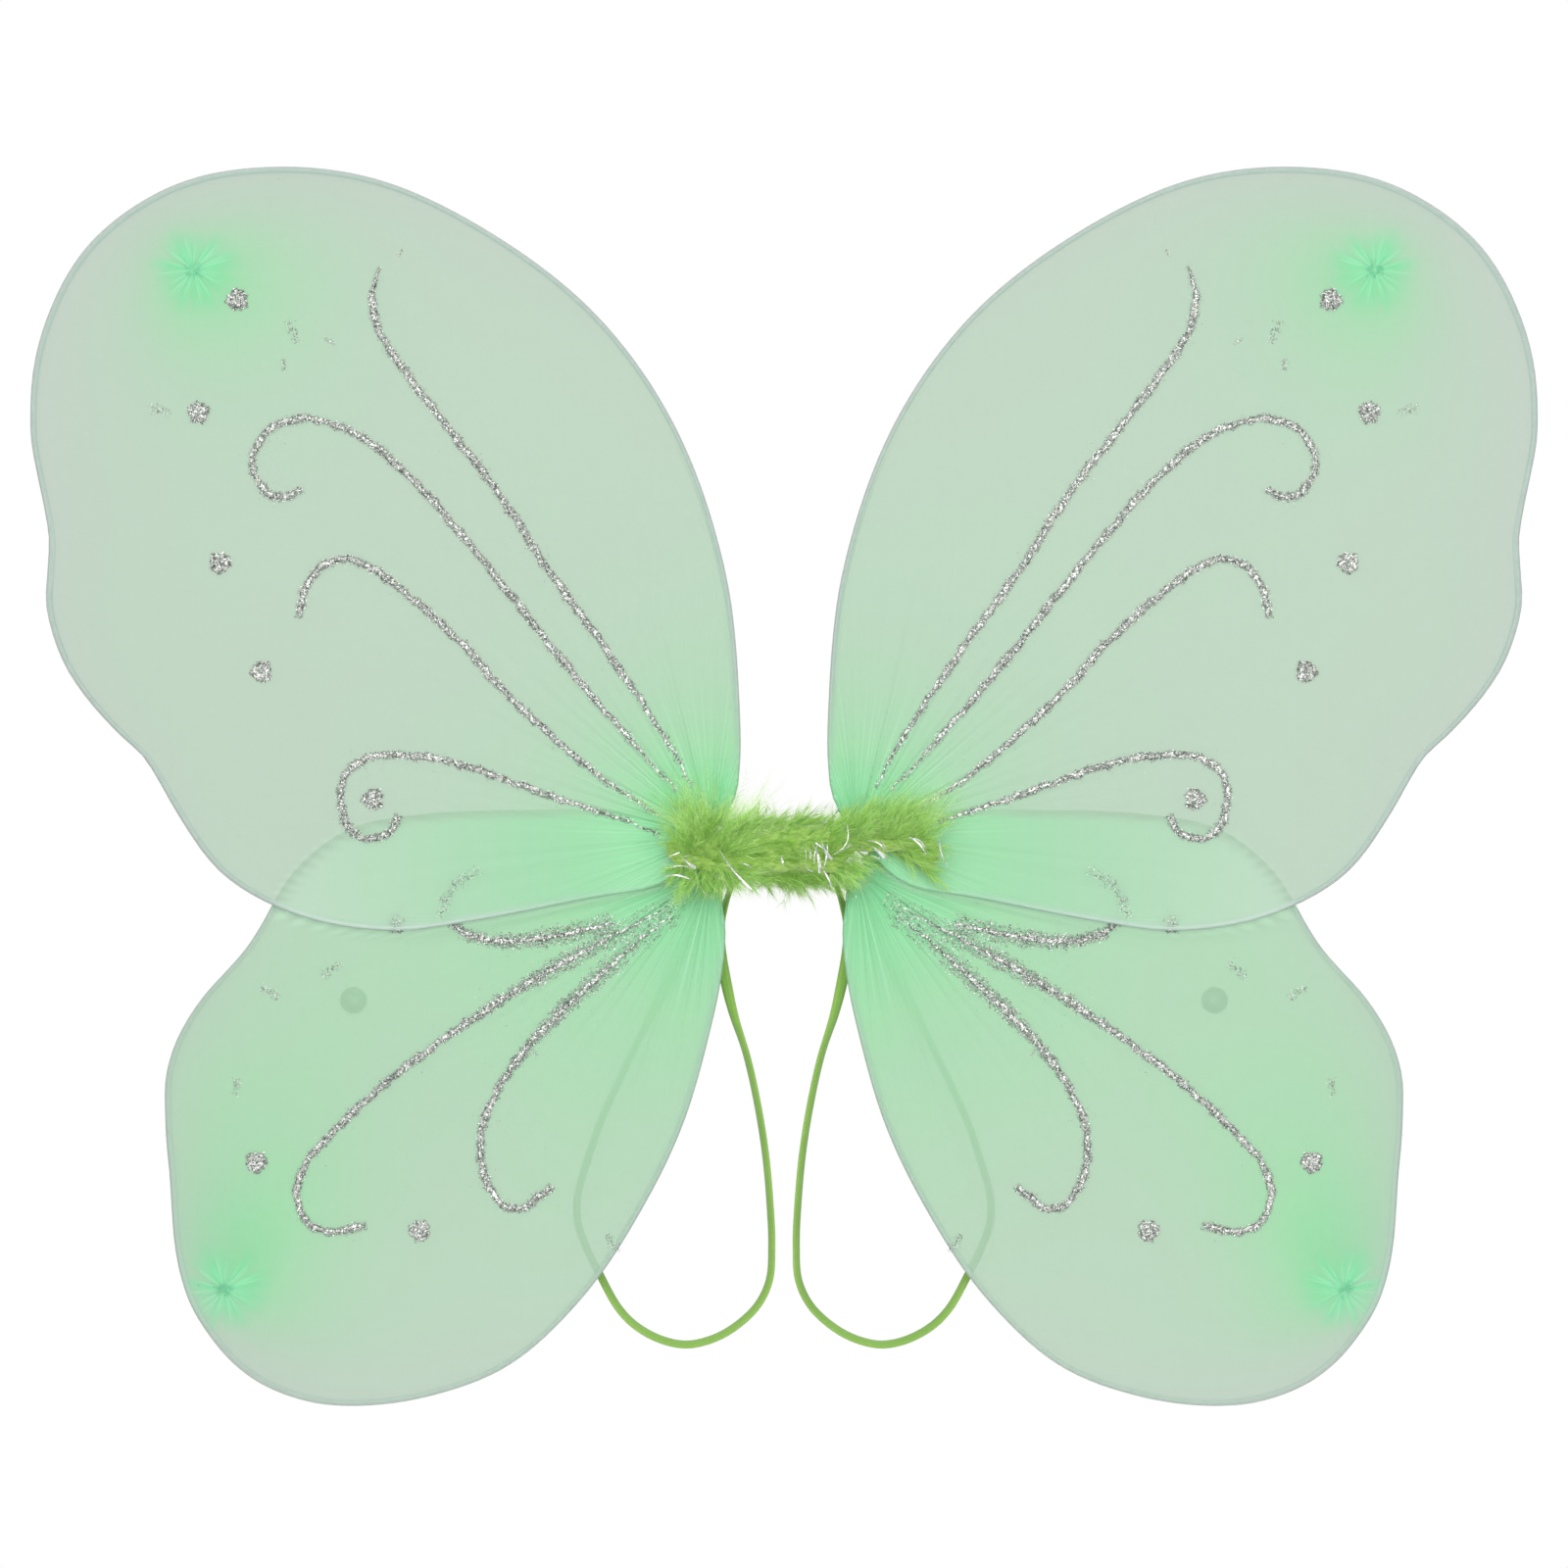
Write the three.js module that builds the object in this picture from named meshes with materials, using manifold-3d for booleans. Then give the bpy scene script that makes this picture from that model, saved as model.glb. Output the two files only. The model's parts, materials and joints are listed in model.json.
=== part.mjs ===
// Fairy wings: four wire loops in hosiery sleeves, bound side by side under a feather boa,
// with two elastic shoulder loops tied on behind.
// Millimetres. +Z is up, -Y is the glittered side that faces away from the wearer, and the
// origin is the point of the boa's flat back that rests between the wearer's shoulder blades.

import * as THREE from "three";
import { mergeVertices } from "three/addons/utils/BufferGeometryUtils.js";
import Module from "manifold-3d";

const wasm = await Module();
wasm.setup();

// ---------------------------------------------------------------- driving dimensions

const GAP = 0.35; // between neighbouring solids

const WIRE_RADIUS = 0.9; // wing wire with its plastic coat
const WIRE_SIDES = 6;
const TAIL_SPREAD = 1.2; // half the distance between a loop's two tails

const BIND_Y = -14; // plane of the bound wire tails
const WING_OFFSET = 2; // upper wings lie this far in front of that plane, lower wings behind it
const BEND_X = 24; // the tails bend on a vertical line this far out from the middle
const TWIST_END = 1.3; // from the bend line in to the twisted tails of the centre

const SHEET_THICKNESS = 1; // both layers of a sleeve together
const SHEET_START = 13; // a sleeve spreads flat this far from its root tie
const MOUTH_STEPS = 5;

const BEAD_WIDTH = 3.2; // glitter glue line
const BEAD_CREST = 2.2; // its width at the top
const BEAD_HEIGHT = 0.7;
const BEAD_STEP = 6;
const DOT_RADIUS = 4.3;

const TAPE = { height: 21.6, depth: 9, wall: 1.8, halfLength: 21.5, z: -0.5 };
const TIE = { wall: 0.8, length: 3 };
const HITCH = { wall: 0.9, width: 4.2, x: 18.8 };

const STRAP_WIDTH = 2.8; // elastic as it hangs, half turned
const STRAP_DEPTH = 3.6;
const STRAP_STEP = 11;
const STRAP_Y = -4.3;
const STRAP_KNOT = { x: 19.8, z: -7, radius: 3.6, halfLength: 4.1 };

const BOA = { front: -27, back: 0, z: 0.5, height: 27, left: -44, right: 58, wrapHalf: 15.2 };
const BOA_BEVEL = 2;

// ---------------------------------------------------------------- outlines of the right side, [x, z]

// The wire of each wing runs from tail to tail: out of the binding, up or over the top edge,
// round the scalloped outer edge and back along the bottom.
const UPPER = {
  name: "upper",
  y: BIND_Y - WING_OFFSET,
  root: [27, 6],
  steps: 112,
  route: [
    [24.3, 7.2], [29.5, 7.3], [32.3, 9.3], [30.5, 12.3], [24.5, 14.5], [19.5, 20], [17.6, 31],
    [17.4, 50], [22.5, 102.5], [41, 157], [70, 198.5], [109.5, 229.5], [152, 249.5], [192, 254],
    [227.5, 247], [259, 224.5], [276.5, 189.5], [279.5, 155], [275, 131], [272.5, 113], [274, 94],
    [267, 70], [251, 48.5], [236.5, 34.5], [228, 19.5], [208.5, -7.5], [180, -23], [146, -28.5],
    [117, -25], [73, -16.5], [48, -11.8], [39, -6], [34.5, 1.5], [30, 4.7], [24.3, 4.8],
  ],
  tip: [220, 216.5],
  dots: [[203.5, 205.5], [218, 163.5], [210, 107.5], [194.5, 67], [153, 19.5]],
  scrolls: {
    spear: [
      [150.5, 217.5], [153.5, 207], [150, 192.5], [137.5, 174], [106, 133], [87.5, 104.5],
      [68.5, 78.5], [43.5, 41], [34, 24],
    ],
    crook: [
      [179.5, 135], [188, 131.5], [196, 138], [197.5, 147.5], [192, 157], [180.5, 161],
      [165.5, 158.5], [150.5, 149.5], [134, 134], [115.5, 112.5], [77, 64.5], [50, 33.5], [40, 23],
    ],
    arch: [
      [180.5, 87.5], [178.5, 97], [173, 105.5], [162, 109], [149, 102.5], [119, 76.5],
      [106, 61.5], [87.5, 44], [68.5, 28], [46, 13],
    ],
    curl: [
      [143.5, 13], [147, 7.5], [155.5, 4.5], [162, 9], [165, 18.5], [163.5, 28], [156.5, 34.5],
      [143.5, 36], [124.5, 33.5], [87.5, 21], [59, 11.5], [46, 6.5],
    ],
  },
};

const LOWER = {
  name: "lower",
  y: BIND_Y + WING_OFFSET,
  root: [27, -7],
  steps: 90,
  route: [
    [24.3, -5.8], [30, -5.8], [34, -3], [38, 5], [46, 12], [62, 14.5], [95, 14.5], [134, 13],
    [162, 7.5], [182, -8], [199, -35.5], [219.5, -59.5], [229, -80], [230, -100], [228, -125],
    [226.5, -146], [220.5, -169], [202, -193], [181, -203.5], [159.5, -206], [131, -202],
    [102.5, -190.5], [74, -163.5], [52.5, -130.5], [38.5, -101], [28.5, -66.5], [24, -44],
    [23, -28], [25, -19], [29, -14.5], [31.5, -10.5], [29.5, -8.3], [24.3, -8.2],
  ],
  tip: [209, -163.5],
  dots: [[144.5, -26.5], [197, -116], [136, -141.5]],
  scrolls: {
    hook: [
      [112.5, -8.5], [124, -12.5], [126, -21], [122.5, -28], [116.5, -31.5], [105.5, -33.5],
      [88.5, -32], [64, -27],
    ],
    long_sweep: [
      [156.5, -139.5], [168, -142], [176.5, -139.5], [182, -129], [178, -116], [166, -102.5],
      [145, -83.5], [102.5, -53.5], [74, -37], [52.5, -25.5], [38.5, -17.5],
    ],
    short_sweep: [
      [87, -125], [98.5, -133.5], [106.5, -130.5], [112.5, -118], [112.5, -102.5], [102.5, -82],
      [88, -64.5], [70, -47.5], [52.5, -32], [40, -22.5],
    ],
  },
};

// The elastic leaves its knot, hangs down by the inner edge of the lower wing, turns at the
// bottom and comes back up behind that wing to the same knot.
const STRAP_ROUTE = [
  [19, -10.95], [21.6, -18.5], [24.2, -27.5], [23.9, -36.5], [22.2, -47], [19.1, -60.5],
  [13.9, -77], [9.9, -95], [6.9, -114], [5.2, -133], [4.6, -148], [5.5, -161], [10, -170.5],
  [18.5, -178.5], [26.8, -183], [36.3, -185.1], [45.4, -183.5], [55, -178.5], [62, -171.5],
  [69.5, -158], [74, -149], [77.4, -139], [77.4, -129.5], [74, -117], [68, -99.5], [61, -84.5],
  [54, -70], [44, -50], [33.6, -30.5], [26, -17.5], [22.6, -11.2],
];

// ---------------------------------------------------------------- materials

const material = (color, roughness, metalness = 0) =>
  new THREE.MeshStandardMaterial({ color, roughness, metalness });

const MATERIALS = {
  wire: () => material(0xb9c4bd, 0.45, 0.6),
  nylon: () => material(0xb5dcbf, 0.6),
  thread: () => material(0x7fdca4, 0.8),
  tape: () => material(0x8fb86a, 0.7),
  steel: () => material(0x9aa0a2, 0.35, 1),
  feather: () => material(0x8fbf4d, 0.95),
  tinsel: () => material(0xdfe3e6, 0.2, 1),
  elastic: () => material(0x93bf58, 0.75),
  glitter: () => material(0xaab2b0, 0.4, 0.8),
};

const wings = new THREE.Group();

// Adds one named piece to the wings.
function add(name, geometry, slot) {
  const mesh = new THREE.Mesh(geometry, MATERIALS[slot]());
  mesh.name = name;
  wings.add(mesh);
}

// ---------------------------------------------------------------- helpers

// A curve whose steps are short at both ends, where a wire bends tightly beside its tie.
class EasedCurve extends THREE.Curve {
  constructor(base, ease) {
    super();
    this.base = base;
    this.ease = ease;
  }
  along(t) {
    return THREE.MathUtils.clamp(t - (this.ease * Math.sin(2 * Math.PI * t)) / (2 * Math.PI), 0, 1);
  }
  getPoint(t) {
    return this.base.getPointAt(this.along(t));
  }
  getPointAt(u) {
    return this.getPoint(u);
  }
  getTangentAt(u) {
    return this.base.getTangentAt(this.along(u));
  }
}

// A smooth curve through [x, z] points of one side, at the depth that depthAt gives.
function curveThrough(route, side, depthAt) {
  const points = route.map(([x, z]) => new THREE.Vector3(side * x, depthAt(x, z), z));
  return new THREE.CatmullRomCurve3(points, false, "centripetal");
}

// An oval section with the given number of sides.
function ovalSection(radiusX, radiusY, sides) {
  const shape = new THREE.Shape();
  for (let i = 0; i < sides; i++) {
    const angle = (2 * Math.PI * (i + 0.5)) / sides;
    const method = i === 0 ? "moveTo" : "lineTo";
    shape[method](radiusX * Math.cos(angle), radiusY * Math.sin(angle));
  }
  shape.closePath();
  return shape;
}

const sweep = (section, extrudePath, steps) =>
  new THREE.ExtrudeGeometry(section, { steps, extrudePath, bevelEnabled: false });

// A rounded rectangle centred on the origin, as a shape or as the hole of one.
function roundedRectangle(width, height, radius, Kind = THREE.Shape) {
  const [x, y] = [width / 2 - radius, height / 2 - radius];
  const shape = new Kind();
  shape.absarc(x, y, radius, 0, Math.PI / 2);
  shape.absarc(-x, y, radius, Math.PI / 2, Math.PI);
  shape.absarc(-x, -y, radius, Math.PI, 1.5 * Math.PI);
  shape.absarc(x, -y, radius, 1.5 * Math.PI, 2 * Math.PI);
  shape.closePath();
  return shape;
}

// A band round the X axis: a rounded rectangular ring, height along Z and depth along Y.
function band(height, depth, wall, length, radius) {
  const shape = roundedRectangle(height, depth, radius);
  const inner = Math.max(radius - wall, 0.3);
  shape.holes.push(roundedRectangle(height - 2 * wall, depth - 2 * wall, inner, THREE.Path));
  const options = { depth: length, bevelEnabled: false, curveSegments: 3 };
  return new THREE.ExtrudeGeometry(shape, options)
    .translate(0, 0, -length / 2)
    .rotateY(Math.PI / 2);
}

// Turns a shape drawn in X and Z into a plate whose back face is at Y = back.
function plate(shape, thickness, back, options = {}) {
  return new THREE.ExtrudeGeometry(shape, { depth: thickness, bevelEnabled: false, ...options })
    .rotateX(Math.PI / 2)
    .translate(0, back, 0);
}

function toSolid(geometry) {
  const bare = geometry.clone();
  bare.deleteAttribute("normal");
  bare.deleteAttribute("uv");
  const merged = mergeVertices(bare, 1e-3);
  return new wasm.Manifold(
    new wasm.Mesh({
      numProp: 3,
      vertProperties: merged.attributes.position.array,
      triVerts: new Uint32Array(merged.index.array),
    }),
  );
}

function toGeometry(solid) {
  const mesh = solid.getMesh();
  const geometry = new THREE.BufferGeometry();
  geometry.setAttribute("position", new THREE.BufferAttribute(mesh.vertProperties, 3));
  geometry.setIndex(new THREE.BufferAttribute(mesh.triVerts, 1));
  return geometry;
}

// ---------------------------------------------------------------- one wing

// The tails lie in the binding's plane, and the loop eases forward or back into its own plane.
function wingDepth(wing) {
  return (x, z) => {
    const fromTie = Math.hypot(x - wing.root[0], z - wing.root[1]);
    return BIND_Y + (wing.y - BIND_Y) * THREE.MathUtils.smoothstep(fromTie, 4, 11);
  };
}

const wireCurve = (wing, side) =>
  new EasedCurve(curveThrough(wing.route, side, wingDepth(wing)), 0.6);

function wire(wing, side) {
  const section = ovalSection(WIRE_RADIUS, WIRE_RADIUS, WIRE_SIDES);
  return sweep(section, wireCurve(wing, side), wing.steps);
}

// The flat of the sleeve: just inside the wire, and open towards the tie along an arc, where the
// gathered part begins.
function sleeve(wing, side) {
  const curve = wireCurve(wing, 1);
  const [rootX, rootZ] = wing.root;
  const clockwise = THREE.ShapeUtils.area(wing.route.map(([x, y]) => ({ x, y }))) < 0;
  const inward = (clockwise ? -1 : 1) * (WIRE_RADIUS + GAP);
  const edge = [];
  for (let i = 0; i <= wing.steps; i++) {
    const point = curve.getPointAt(i / wing.steps);
    const tangent = curve.getTangentAt(i / wing.steps).setY(0).normalize();
    if (Math.hypot(point.x - rootX, point.z - rootZ) < SHEET_START) continue;
    edge.push([point.x - tangent.z * inward, point.z + tangent.x * inward]);
  }
  const [first, last] = [edge[0], edge.at(-1)].map(([x, z]) => Math.atan2(z - rootZ, x - rootX));
  for (let i = 1; i < MOUTH_STEPS; i++) {
    const angle = last + ((first - last) * i) / MOUTH_STEPS;
    edge.push([rootX + SHEET_START * Math.cos(angle), rootZ + SHEET_START * Math.sin(angle)]);
  }
  const shape = new THREE.Shape(edge.map(([x, z]) => new THREE.Vector2(side * x, z)));
  return plate(shape, SHEET_THICKNESS, wing.y + SHEET_THICKNESS / 2);
}

// The closed end of the sleeve, gathered and tied off behind the wing.
function tipKnot(wing, side) {
  const profile = [
    [0, 0], [6, 0], [3.2, 1.5], [2.2, 2.6], [3.4, 4.2], [3.8, 5.6], [2.6, 6.8], [0, 7.2],
  ].map(([radius, y]) => new THREE.Vector2(radius, y));
  const back = wing.y + SHEET_THICKNESS / 2 + GAP;
  return new THREE.LatheGeometry(profile, 12).translate(side * wing.tip[0], back, wing.tip[1]);
}

// The thread binding that draws the sleeve's mouth tight round the two tails.
function rootTie(wing, side) {
  const hole = 2 * (WIRE_RADIUS + GAP);
  const depth = hole + 2 * TIE.wall;
  const height = depth + 2 * TAIL_SPREAD;
  return band(height, depth, TIE.wall, TIE.length, depth / 2 - 0.1).translate(
    side * wing.root[0],
    BIND_Y,
    wing.root[1],
  );
}

// A raised line of glitter glue on the front of the sleeve.
function scroll(wing, side, route) {
  const front = wing.y - SHEET_THICKNESS / 2 - GAP;
  const path = curveThrough(route, side, () => front);
  const section = new THREE.Shape([
    new THREE.Vector2(0, -BEAD_WIDTH / 2),
    new THREE.Vector2(BEAD_HEIGHT, -BEAD_CREST / 2),
    new THREE.Vector2(BEAD_HEIGHT, BEAD_CREST / 2),
    new THREE.Vector2(0, BEAD_WIDTH / 2),
  ]);
  return sweep(section, path, Math.round(path.getLength() / BEAD_STEP));
}

function dot(wing, side, [x, z]) {
  const y = wing.y - SHEET_THICKNESS / 2 - GAP - BEAD_HEIGHT / 2;
  const crest = DOT_RADIUS - BEAD_HEIGHT;
  return new THREE.CylinderGeometry(DOT_RADIUS, crest, BEAD_HEIGHT, 12).translate(side * x, y, z);
}

function addWing(wing, side, hand) {
  add(`${wing.name}_wire_${hand}`, wire(wing, side), "wire");
  add(`${wing.name}_sleeve_${hand}`, sleeve(wing, side), "nylon");
  add(`${wing.name}_tip_knot_${hand}`, tipKnot(wing, side), "thread");
  add(`${wing.name}_root_tie_${hand}`, rootTie(wing, side), "thread");
  for (const [name, route] of Object.entries(wing.scrolls)) {
    add(`glitter_${name}_${hand}`, scroll(wing, side, route), "glitter");
  }
  wing.dots.forEach((place, i) => {
    add(`glitter_dot_${wing.name}_${i + 1}_${hand}`, dot(wing, side, place), "glitter");
  });
}

// ---------------------------------------------------------------- the centre

// The tails of a left and a right wing, twisted together once inside the tape.
function wireTwist(wing) {
  const length = 2 * (BEND_X - TWIST_END);
  const section = ovalSection(WIRE_RADIUS + TAIL_SPREAD, WIRE_RADIUS, 8);
  const geometry = new THREE.ExtrudeGeometry(section, { depth: length, steps: 16, bevelEnabled: false });
  const position = geometry.getAttribute("position");
  const point = new THREE.Vector3();
  const axis = new THREE.Vector3(0, 0, 1);
  for (let i = 0; i < position.count; i++) {
    point.fromBufferAttribute(position, i);
    point.applyAxisAngle(axis, (2 * Math.PI * point.z) / length);
    position.setXYZ(i, point.x, point.y, point.z);
  }
  return geometry.translate(0, 0, -length / 2).rotateY(Math.PI / 2).translate(0, BIND_Y, wing.root[1]);
}

function bindingTape() {
  return band(TAPE.height, TAPE.depth, TAPE.wall, 2 * TAPE.halfLength, 4).translate(0, BIND_Y, TAPE.z);
}

// The feather boa: a full wrap round the middle of the tape, and a longer spray in front of it
// that covers the roots of the wings and leaves room for the turns of elastic.
function boa() {
  const wrapShape = roundedRectangle(BOA.height, BOA.back - BOA.front, 6);
  const [holeHeight, holeDepth] = [TAPE.height + 2 * GAP, TAPE.depth + 2 * GAP];
  const middleY = (BOA.front + BOA.back) / 2;
  wrapShape.holes.push(holeAt(holeHeight, holeDepth, 4, BOA.z - TAPE.z, BIND_Y - middleY));
  const wrap = new THREE.ExtrudeGeometry(wrapShape, {
    depth: 2 * BOA.wrapHalf,
    bevelEnabled: false,
    curveSegments: 4,
  });
  wrap.translate(0, 0, -BOA.wrapHalf).rotateY(Math.PI / 2).translate(0, middleY, BOA.z);

  const width = BOA.right - BOA.left;
  const sprayBack = UPPER.y - WIRE_RADIUS - 1;
  const sprayShape = roundedRectangle(width - 2 * BOA_BEVEL, BOA.height - 2 * BOA_BEVEL, 9);
  const spray = plate(sprayShape, sprayBack - BOA.front - 2 * BOA_BEVEL, sprayBack - BOA_BEVEL, {
    bevelEnabled: true,
    bevelSize: BOA_BEVEL,
    bevelThickness: BOA_BEVEL,
    bevelSegments: 2,
    curveSegments: 5,
  }).translate((BOA.left + BOA.right) / 2, 0, BOA.z);

  const room = TAPE.depth / 2 + HITCH.wall + 2 * GAP;
  const pocketTop = TAPE.z + TAPE.height / 2 + HITCH.wall + 2 * GAP;
  const pocket = new THREE.BoxGeometry(2 * (TAPE.halfLength + 2 * GAP), 2 * room, BOA.height);
  pocket.translate(0, BIND_Y, pocketTop - BOA.height / 2);
  return toGeometry(toSolid(spray).subtract(toSolid(pocket)).add(toSolid(wrap)));
}

// A rounded rectangular hole whose centre is moved from the middle of its shape.
function holeAt(width, height, radius, x, y) {
  const points = roundedRectangle(width, height, radius).getPoints(3);
  return new THREE.Path(points.map((p) => new THREE.Vector2(p.x + x, p.y + y)));
}

// A strand of foil that zigzags over the front of the boa from x = start to x = end.
function tinsel(start, end, waves, height) {
  const steps = waves * 8;
  const points = [];
  for (let i = 0; i <= steps; i++) {
    const t = i / steps;
    const z = BOA.z - 1 + height * Math.sin(2 * Math.PI * waves * t);
    points.push(new THREE.Vector3(start + (end - start) * t, BOA.front - GAP, z));
  }
  const path = new THREE.CatmullRomCurve3(points, false, "centripetal");
  const section = new THREE.Shape([
    new THREE.Vector2(0, -0.5),
    new THREE.Vector2(0.4, -0.5),
    new THREE.Vector2(0.4, 0.5),
    new THREE.Vector2(0, 0.5),
  ]);
  return sweep(section, path, steps);
}

// ---------------------------------------------------------------- the shoulder loops

function strap(side) {
  const path = curveThrough(STRAP_ROUTE, side, () => STRAP_Y);
  const section = ovalSection(STRAP_DEPTH / 2, STRAP_WIDTH / 2, 8);
  return sweep(section, path, Math.round(path.getLength() / STRAP_STEP));
}

// The turn of elastic that goes round the tape.
function strapHitch(side) {
  const extra = 2 * (GAP + HITCH.wall);
  const round = band(TAPE.height + extra, TAPE.depth + extra, HITCH.wall, HITCH.width, 5);
  return round.translate(side * HITCH.x, BIND_Y, TAPE.z);
}

function strapKnot(side) {
  const { x, z, radius, halfLength } = STRAP_KNOT;
  return new THREE.SphereGeometry(1, 12, 8)
    .scale(halfLength, radius, radius)
    .translate(side * x, STRAP_Y, z);
}

// ---------------------------------------------------------------- assembly

for (const [hand, side] of [["left", -1], ["right", 1]]) {
  addWing(UPPER, side, hand);
  addWing(LOWER, side, hand);
  add(`strap_${hand}`, strap(side), "elastic");
  add(`strap_hitch_${hand}`, strapHitch(side), "elastic");
  add(`strap_knot_${hand}`, strapKnot(side), "elastic");
}
add("upper_wire_twist", wireTwist(UPPER), "steel");
add("lower_wire_twist", wireTwist(LOWER), "steel");
add("binding_tape", bindingTape(), "tape");
add("marabou_boa", boa(), "feather");
add("tinsel_strand_left", tinsel(-42, -31, 2, 5), "tinsel");
add("tinsel_strand_right", tinsel(6, 44, 6, 7), "tinsel");

export default wings;
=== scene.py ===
"""Fairy wings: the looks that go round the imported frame.

Everything is in metres, in the frame's own axes: +Z up, and -Y the glittered side. What comes in
pairs is shaped once, on the right (x > 0), and mirrored for the left.
"""

import json
import math

import bpy
import numpy as np
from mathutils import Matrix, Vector, noise


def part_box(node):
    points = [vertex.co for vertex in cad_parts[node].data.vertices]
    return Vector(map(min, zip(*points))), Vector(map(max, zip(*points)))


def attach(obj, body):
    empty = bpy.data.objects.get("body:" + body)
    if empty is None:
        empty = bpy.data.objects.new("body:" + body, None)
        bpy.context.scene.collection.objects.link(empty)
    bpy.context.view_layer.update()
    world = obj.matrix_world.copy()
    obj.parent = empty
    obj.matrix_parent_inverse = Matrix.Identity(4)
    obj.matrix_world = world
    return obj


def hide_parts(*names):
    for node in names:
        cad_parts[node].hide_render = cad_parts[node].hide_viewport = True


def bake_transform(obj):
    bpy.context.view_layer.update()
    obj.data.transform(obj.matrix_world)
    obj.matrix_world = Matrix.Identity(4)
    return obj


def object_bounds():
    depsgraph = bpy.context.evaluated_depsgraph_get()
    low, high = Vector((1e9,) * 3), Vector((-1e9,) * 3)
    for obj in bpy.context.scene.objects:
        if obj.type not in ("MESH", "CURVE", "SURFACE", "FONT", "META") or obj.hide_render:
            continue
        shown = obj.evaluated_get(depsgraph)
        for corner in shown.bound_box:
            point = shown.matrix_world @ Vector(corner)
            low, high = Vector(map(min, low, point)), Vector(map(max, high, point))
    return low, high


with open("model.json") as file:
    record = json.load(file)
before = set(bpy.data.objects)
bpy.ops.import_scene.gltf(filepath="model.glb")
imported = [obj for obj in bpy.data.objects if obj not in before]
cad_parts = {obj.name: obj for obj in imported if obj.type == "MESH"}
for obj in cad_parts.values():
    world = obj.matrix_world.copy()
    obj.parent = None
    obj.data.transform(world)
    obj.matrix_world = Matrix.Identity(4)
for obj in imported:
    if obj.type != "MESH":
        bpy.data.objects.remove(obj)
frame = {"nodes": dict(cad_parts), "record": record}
CAD_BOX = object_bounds()

MM = 0.001
SIDES = {"left": -1, "right": 1}
WINGS = ("upper", "lower")

# ---------------------------------------------------------------- dimensions shared with the frame

WIRE_TO_PLATE = 1.25 * MM  # from the wire's centre line in to the edge of its CAD sleeve plate
PLATE_START = 13 * MM  # the plate's mouth is an arc of this radius round the root tie
BIND_Y = -14 * MM  # plane of the bound wire tails

STRAP_Y = -0.0043
STRAP_ROUTE = [
    (0.0190, -0.01095), (0.0216, -0.0185), (0.0242, -0.0275), (0.0239, -0.0365),
    (0.0222, -0.0470), (0.0191, -0.0605), (0.0139, -0.0770), (0.0099, -0.0950),
    (0.0069, -0.1140), (0.0052, -0.1330), (0.0046, -0.1480), (0.0055, -0.1610),
    (0.0100, -0.1705), (0.0185, -0.1785), (0.0268, -0.1830), (0.0363, -0.1851),
    (0.0454, -0.1835), (0.0550, -0.1785), (0.0620, -0.1715), (0.0695, -0.1580),
    (0.0740, -0.1490), (0.0774, -0.1390), (0.0774, -0.1295), (0.0740, -0.1170),
    (0.0680, -0.0995), (0.0610, -0.0845), (0.0540, -0.0700), (0.0440, -0.0500),
    (0.0336, -0.0305), (0.0260, -0.0175), (0.0226, -0.0112),
]
STRAP_WIDTH = 4.2 * MM  # the elastic laid flat
STRAP_THICKNESS = 1.15 * MM

# Faint smears of glitter that rubbed off: their middle as (x, z), length, and slope in degrees.
SMEARS = {
    "upper": [
        ((0.1828, 0.1937), 0.009, 70), ((0.1864, 0.1809), 0.005, 95),
        ((0.1690, 0.1900), 0.004, 30), ((0.2321, 0.1645), 0.009, 20),
        ((0.1430, 0.2230), 0.003, 130),
        # These come from a curl and a dot on the lower wing, where the two wings rub.
        ((0.1170, -0.0090), 0.010, 150), ((0.1240, -0.0150), 0.009, 115),
        ((0.1270, -0.0210), 0.009, 95), ((0.1440, -0.0262), 0.006, 0),
        ((0.1444, -0.0268), 0.006, 90),
    ],
    "lower": [
        ((0.1915, -0.0525), 0.008, 25), ((0.1690, -0.0440), 0.009, 140),
        ((0.2043, -0.0880), 0.007, 100), ((0.0640, -0.1462), 0.008, 50),
        ((0.0930, -0.0750), 0.003, 60), ((0.1446, -0.0290), 0.006, 0),
    ],
}
GLUE_SPOT = (0.1608, -0.0556)  # behind each lower wing, as (x, z)


# ---------------------------------------------------------------- geometry helpers


def unit(vectors):
    """Each vector at length 1."""
    vectors = np.asarray(vectors, float)
    return vectors / np.maximum(np.linalg.norm(vectors, axis=-1, keepdims=True), 1e-12)


def smoothstep(x, low, high):
    t = np.clip((np.asarray(x, float) - low) / (high - low), 0, 1)
    return t * t * (3 - 2 * t)


def curve_through(points, step):
    """A centripetal Catmull-Rom curve through the points, as points about one step apart."""
    points = np.asarray(points, float)
    points = np.vstack([2 * points[0] - points[1], points, 2 * points[-1] - points[-2]])
    gaps = np.sqrt(np.linalg.norm(np.diff(points, axis=0), axis=1))
    line = []
    for i in range(1, len(points) - 2):
        a, b, c, d = points[i - 1 : i + 3]
        before, here, after = gaps[i - 1 : i + 2]
        start = here * ((b - a) / before - (c - a) / (before + here) + (c - b) / here)
        end = here * ((c - b) / here - (d - b) / (here + after) + (d - c) / after)
        t = np.linspace(0, 1, max(2, math.ceil(here * here / step) + 1))[:-1, None]
        line.append(
            b * (2 * t**3 - 3 * t**2 + 1)
            + start * (t**3 - 2 * t**2 + t)
            + c * (3 * t**2 - 2 * t**3)
            + end * (t**3 - t**2)
        )
    return spaced(np.vstack([*line, points[-2:-1]]), step)


def lengths_along(line):
    return np.concatenate([[0], np.cumsum(np.linalg.norm(np.diff(line, axis=0), axis=1))])


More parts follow.
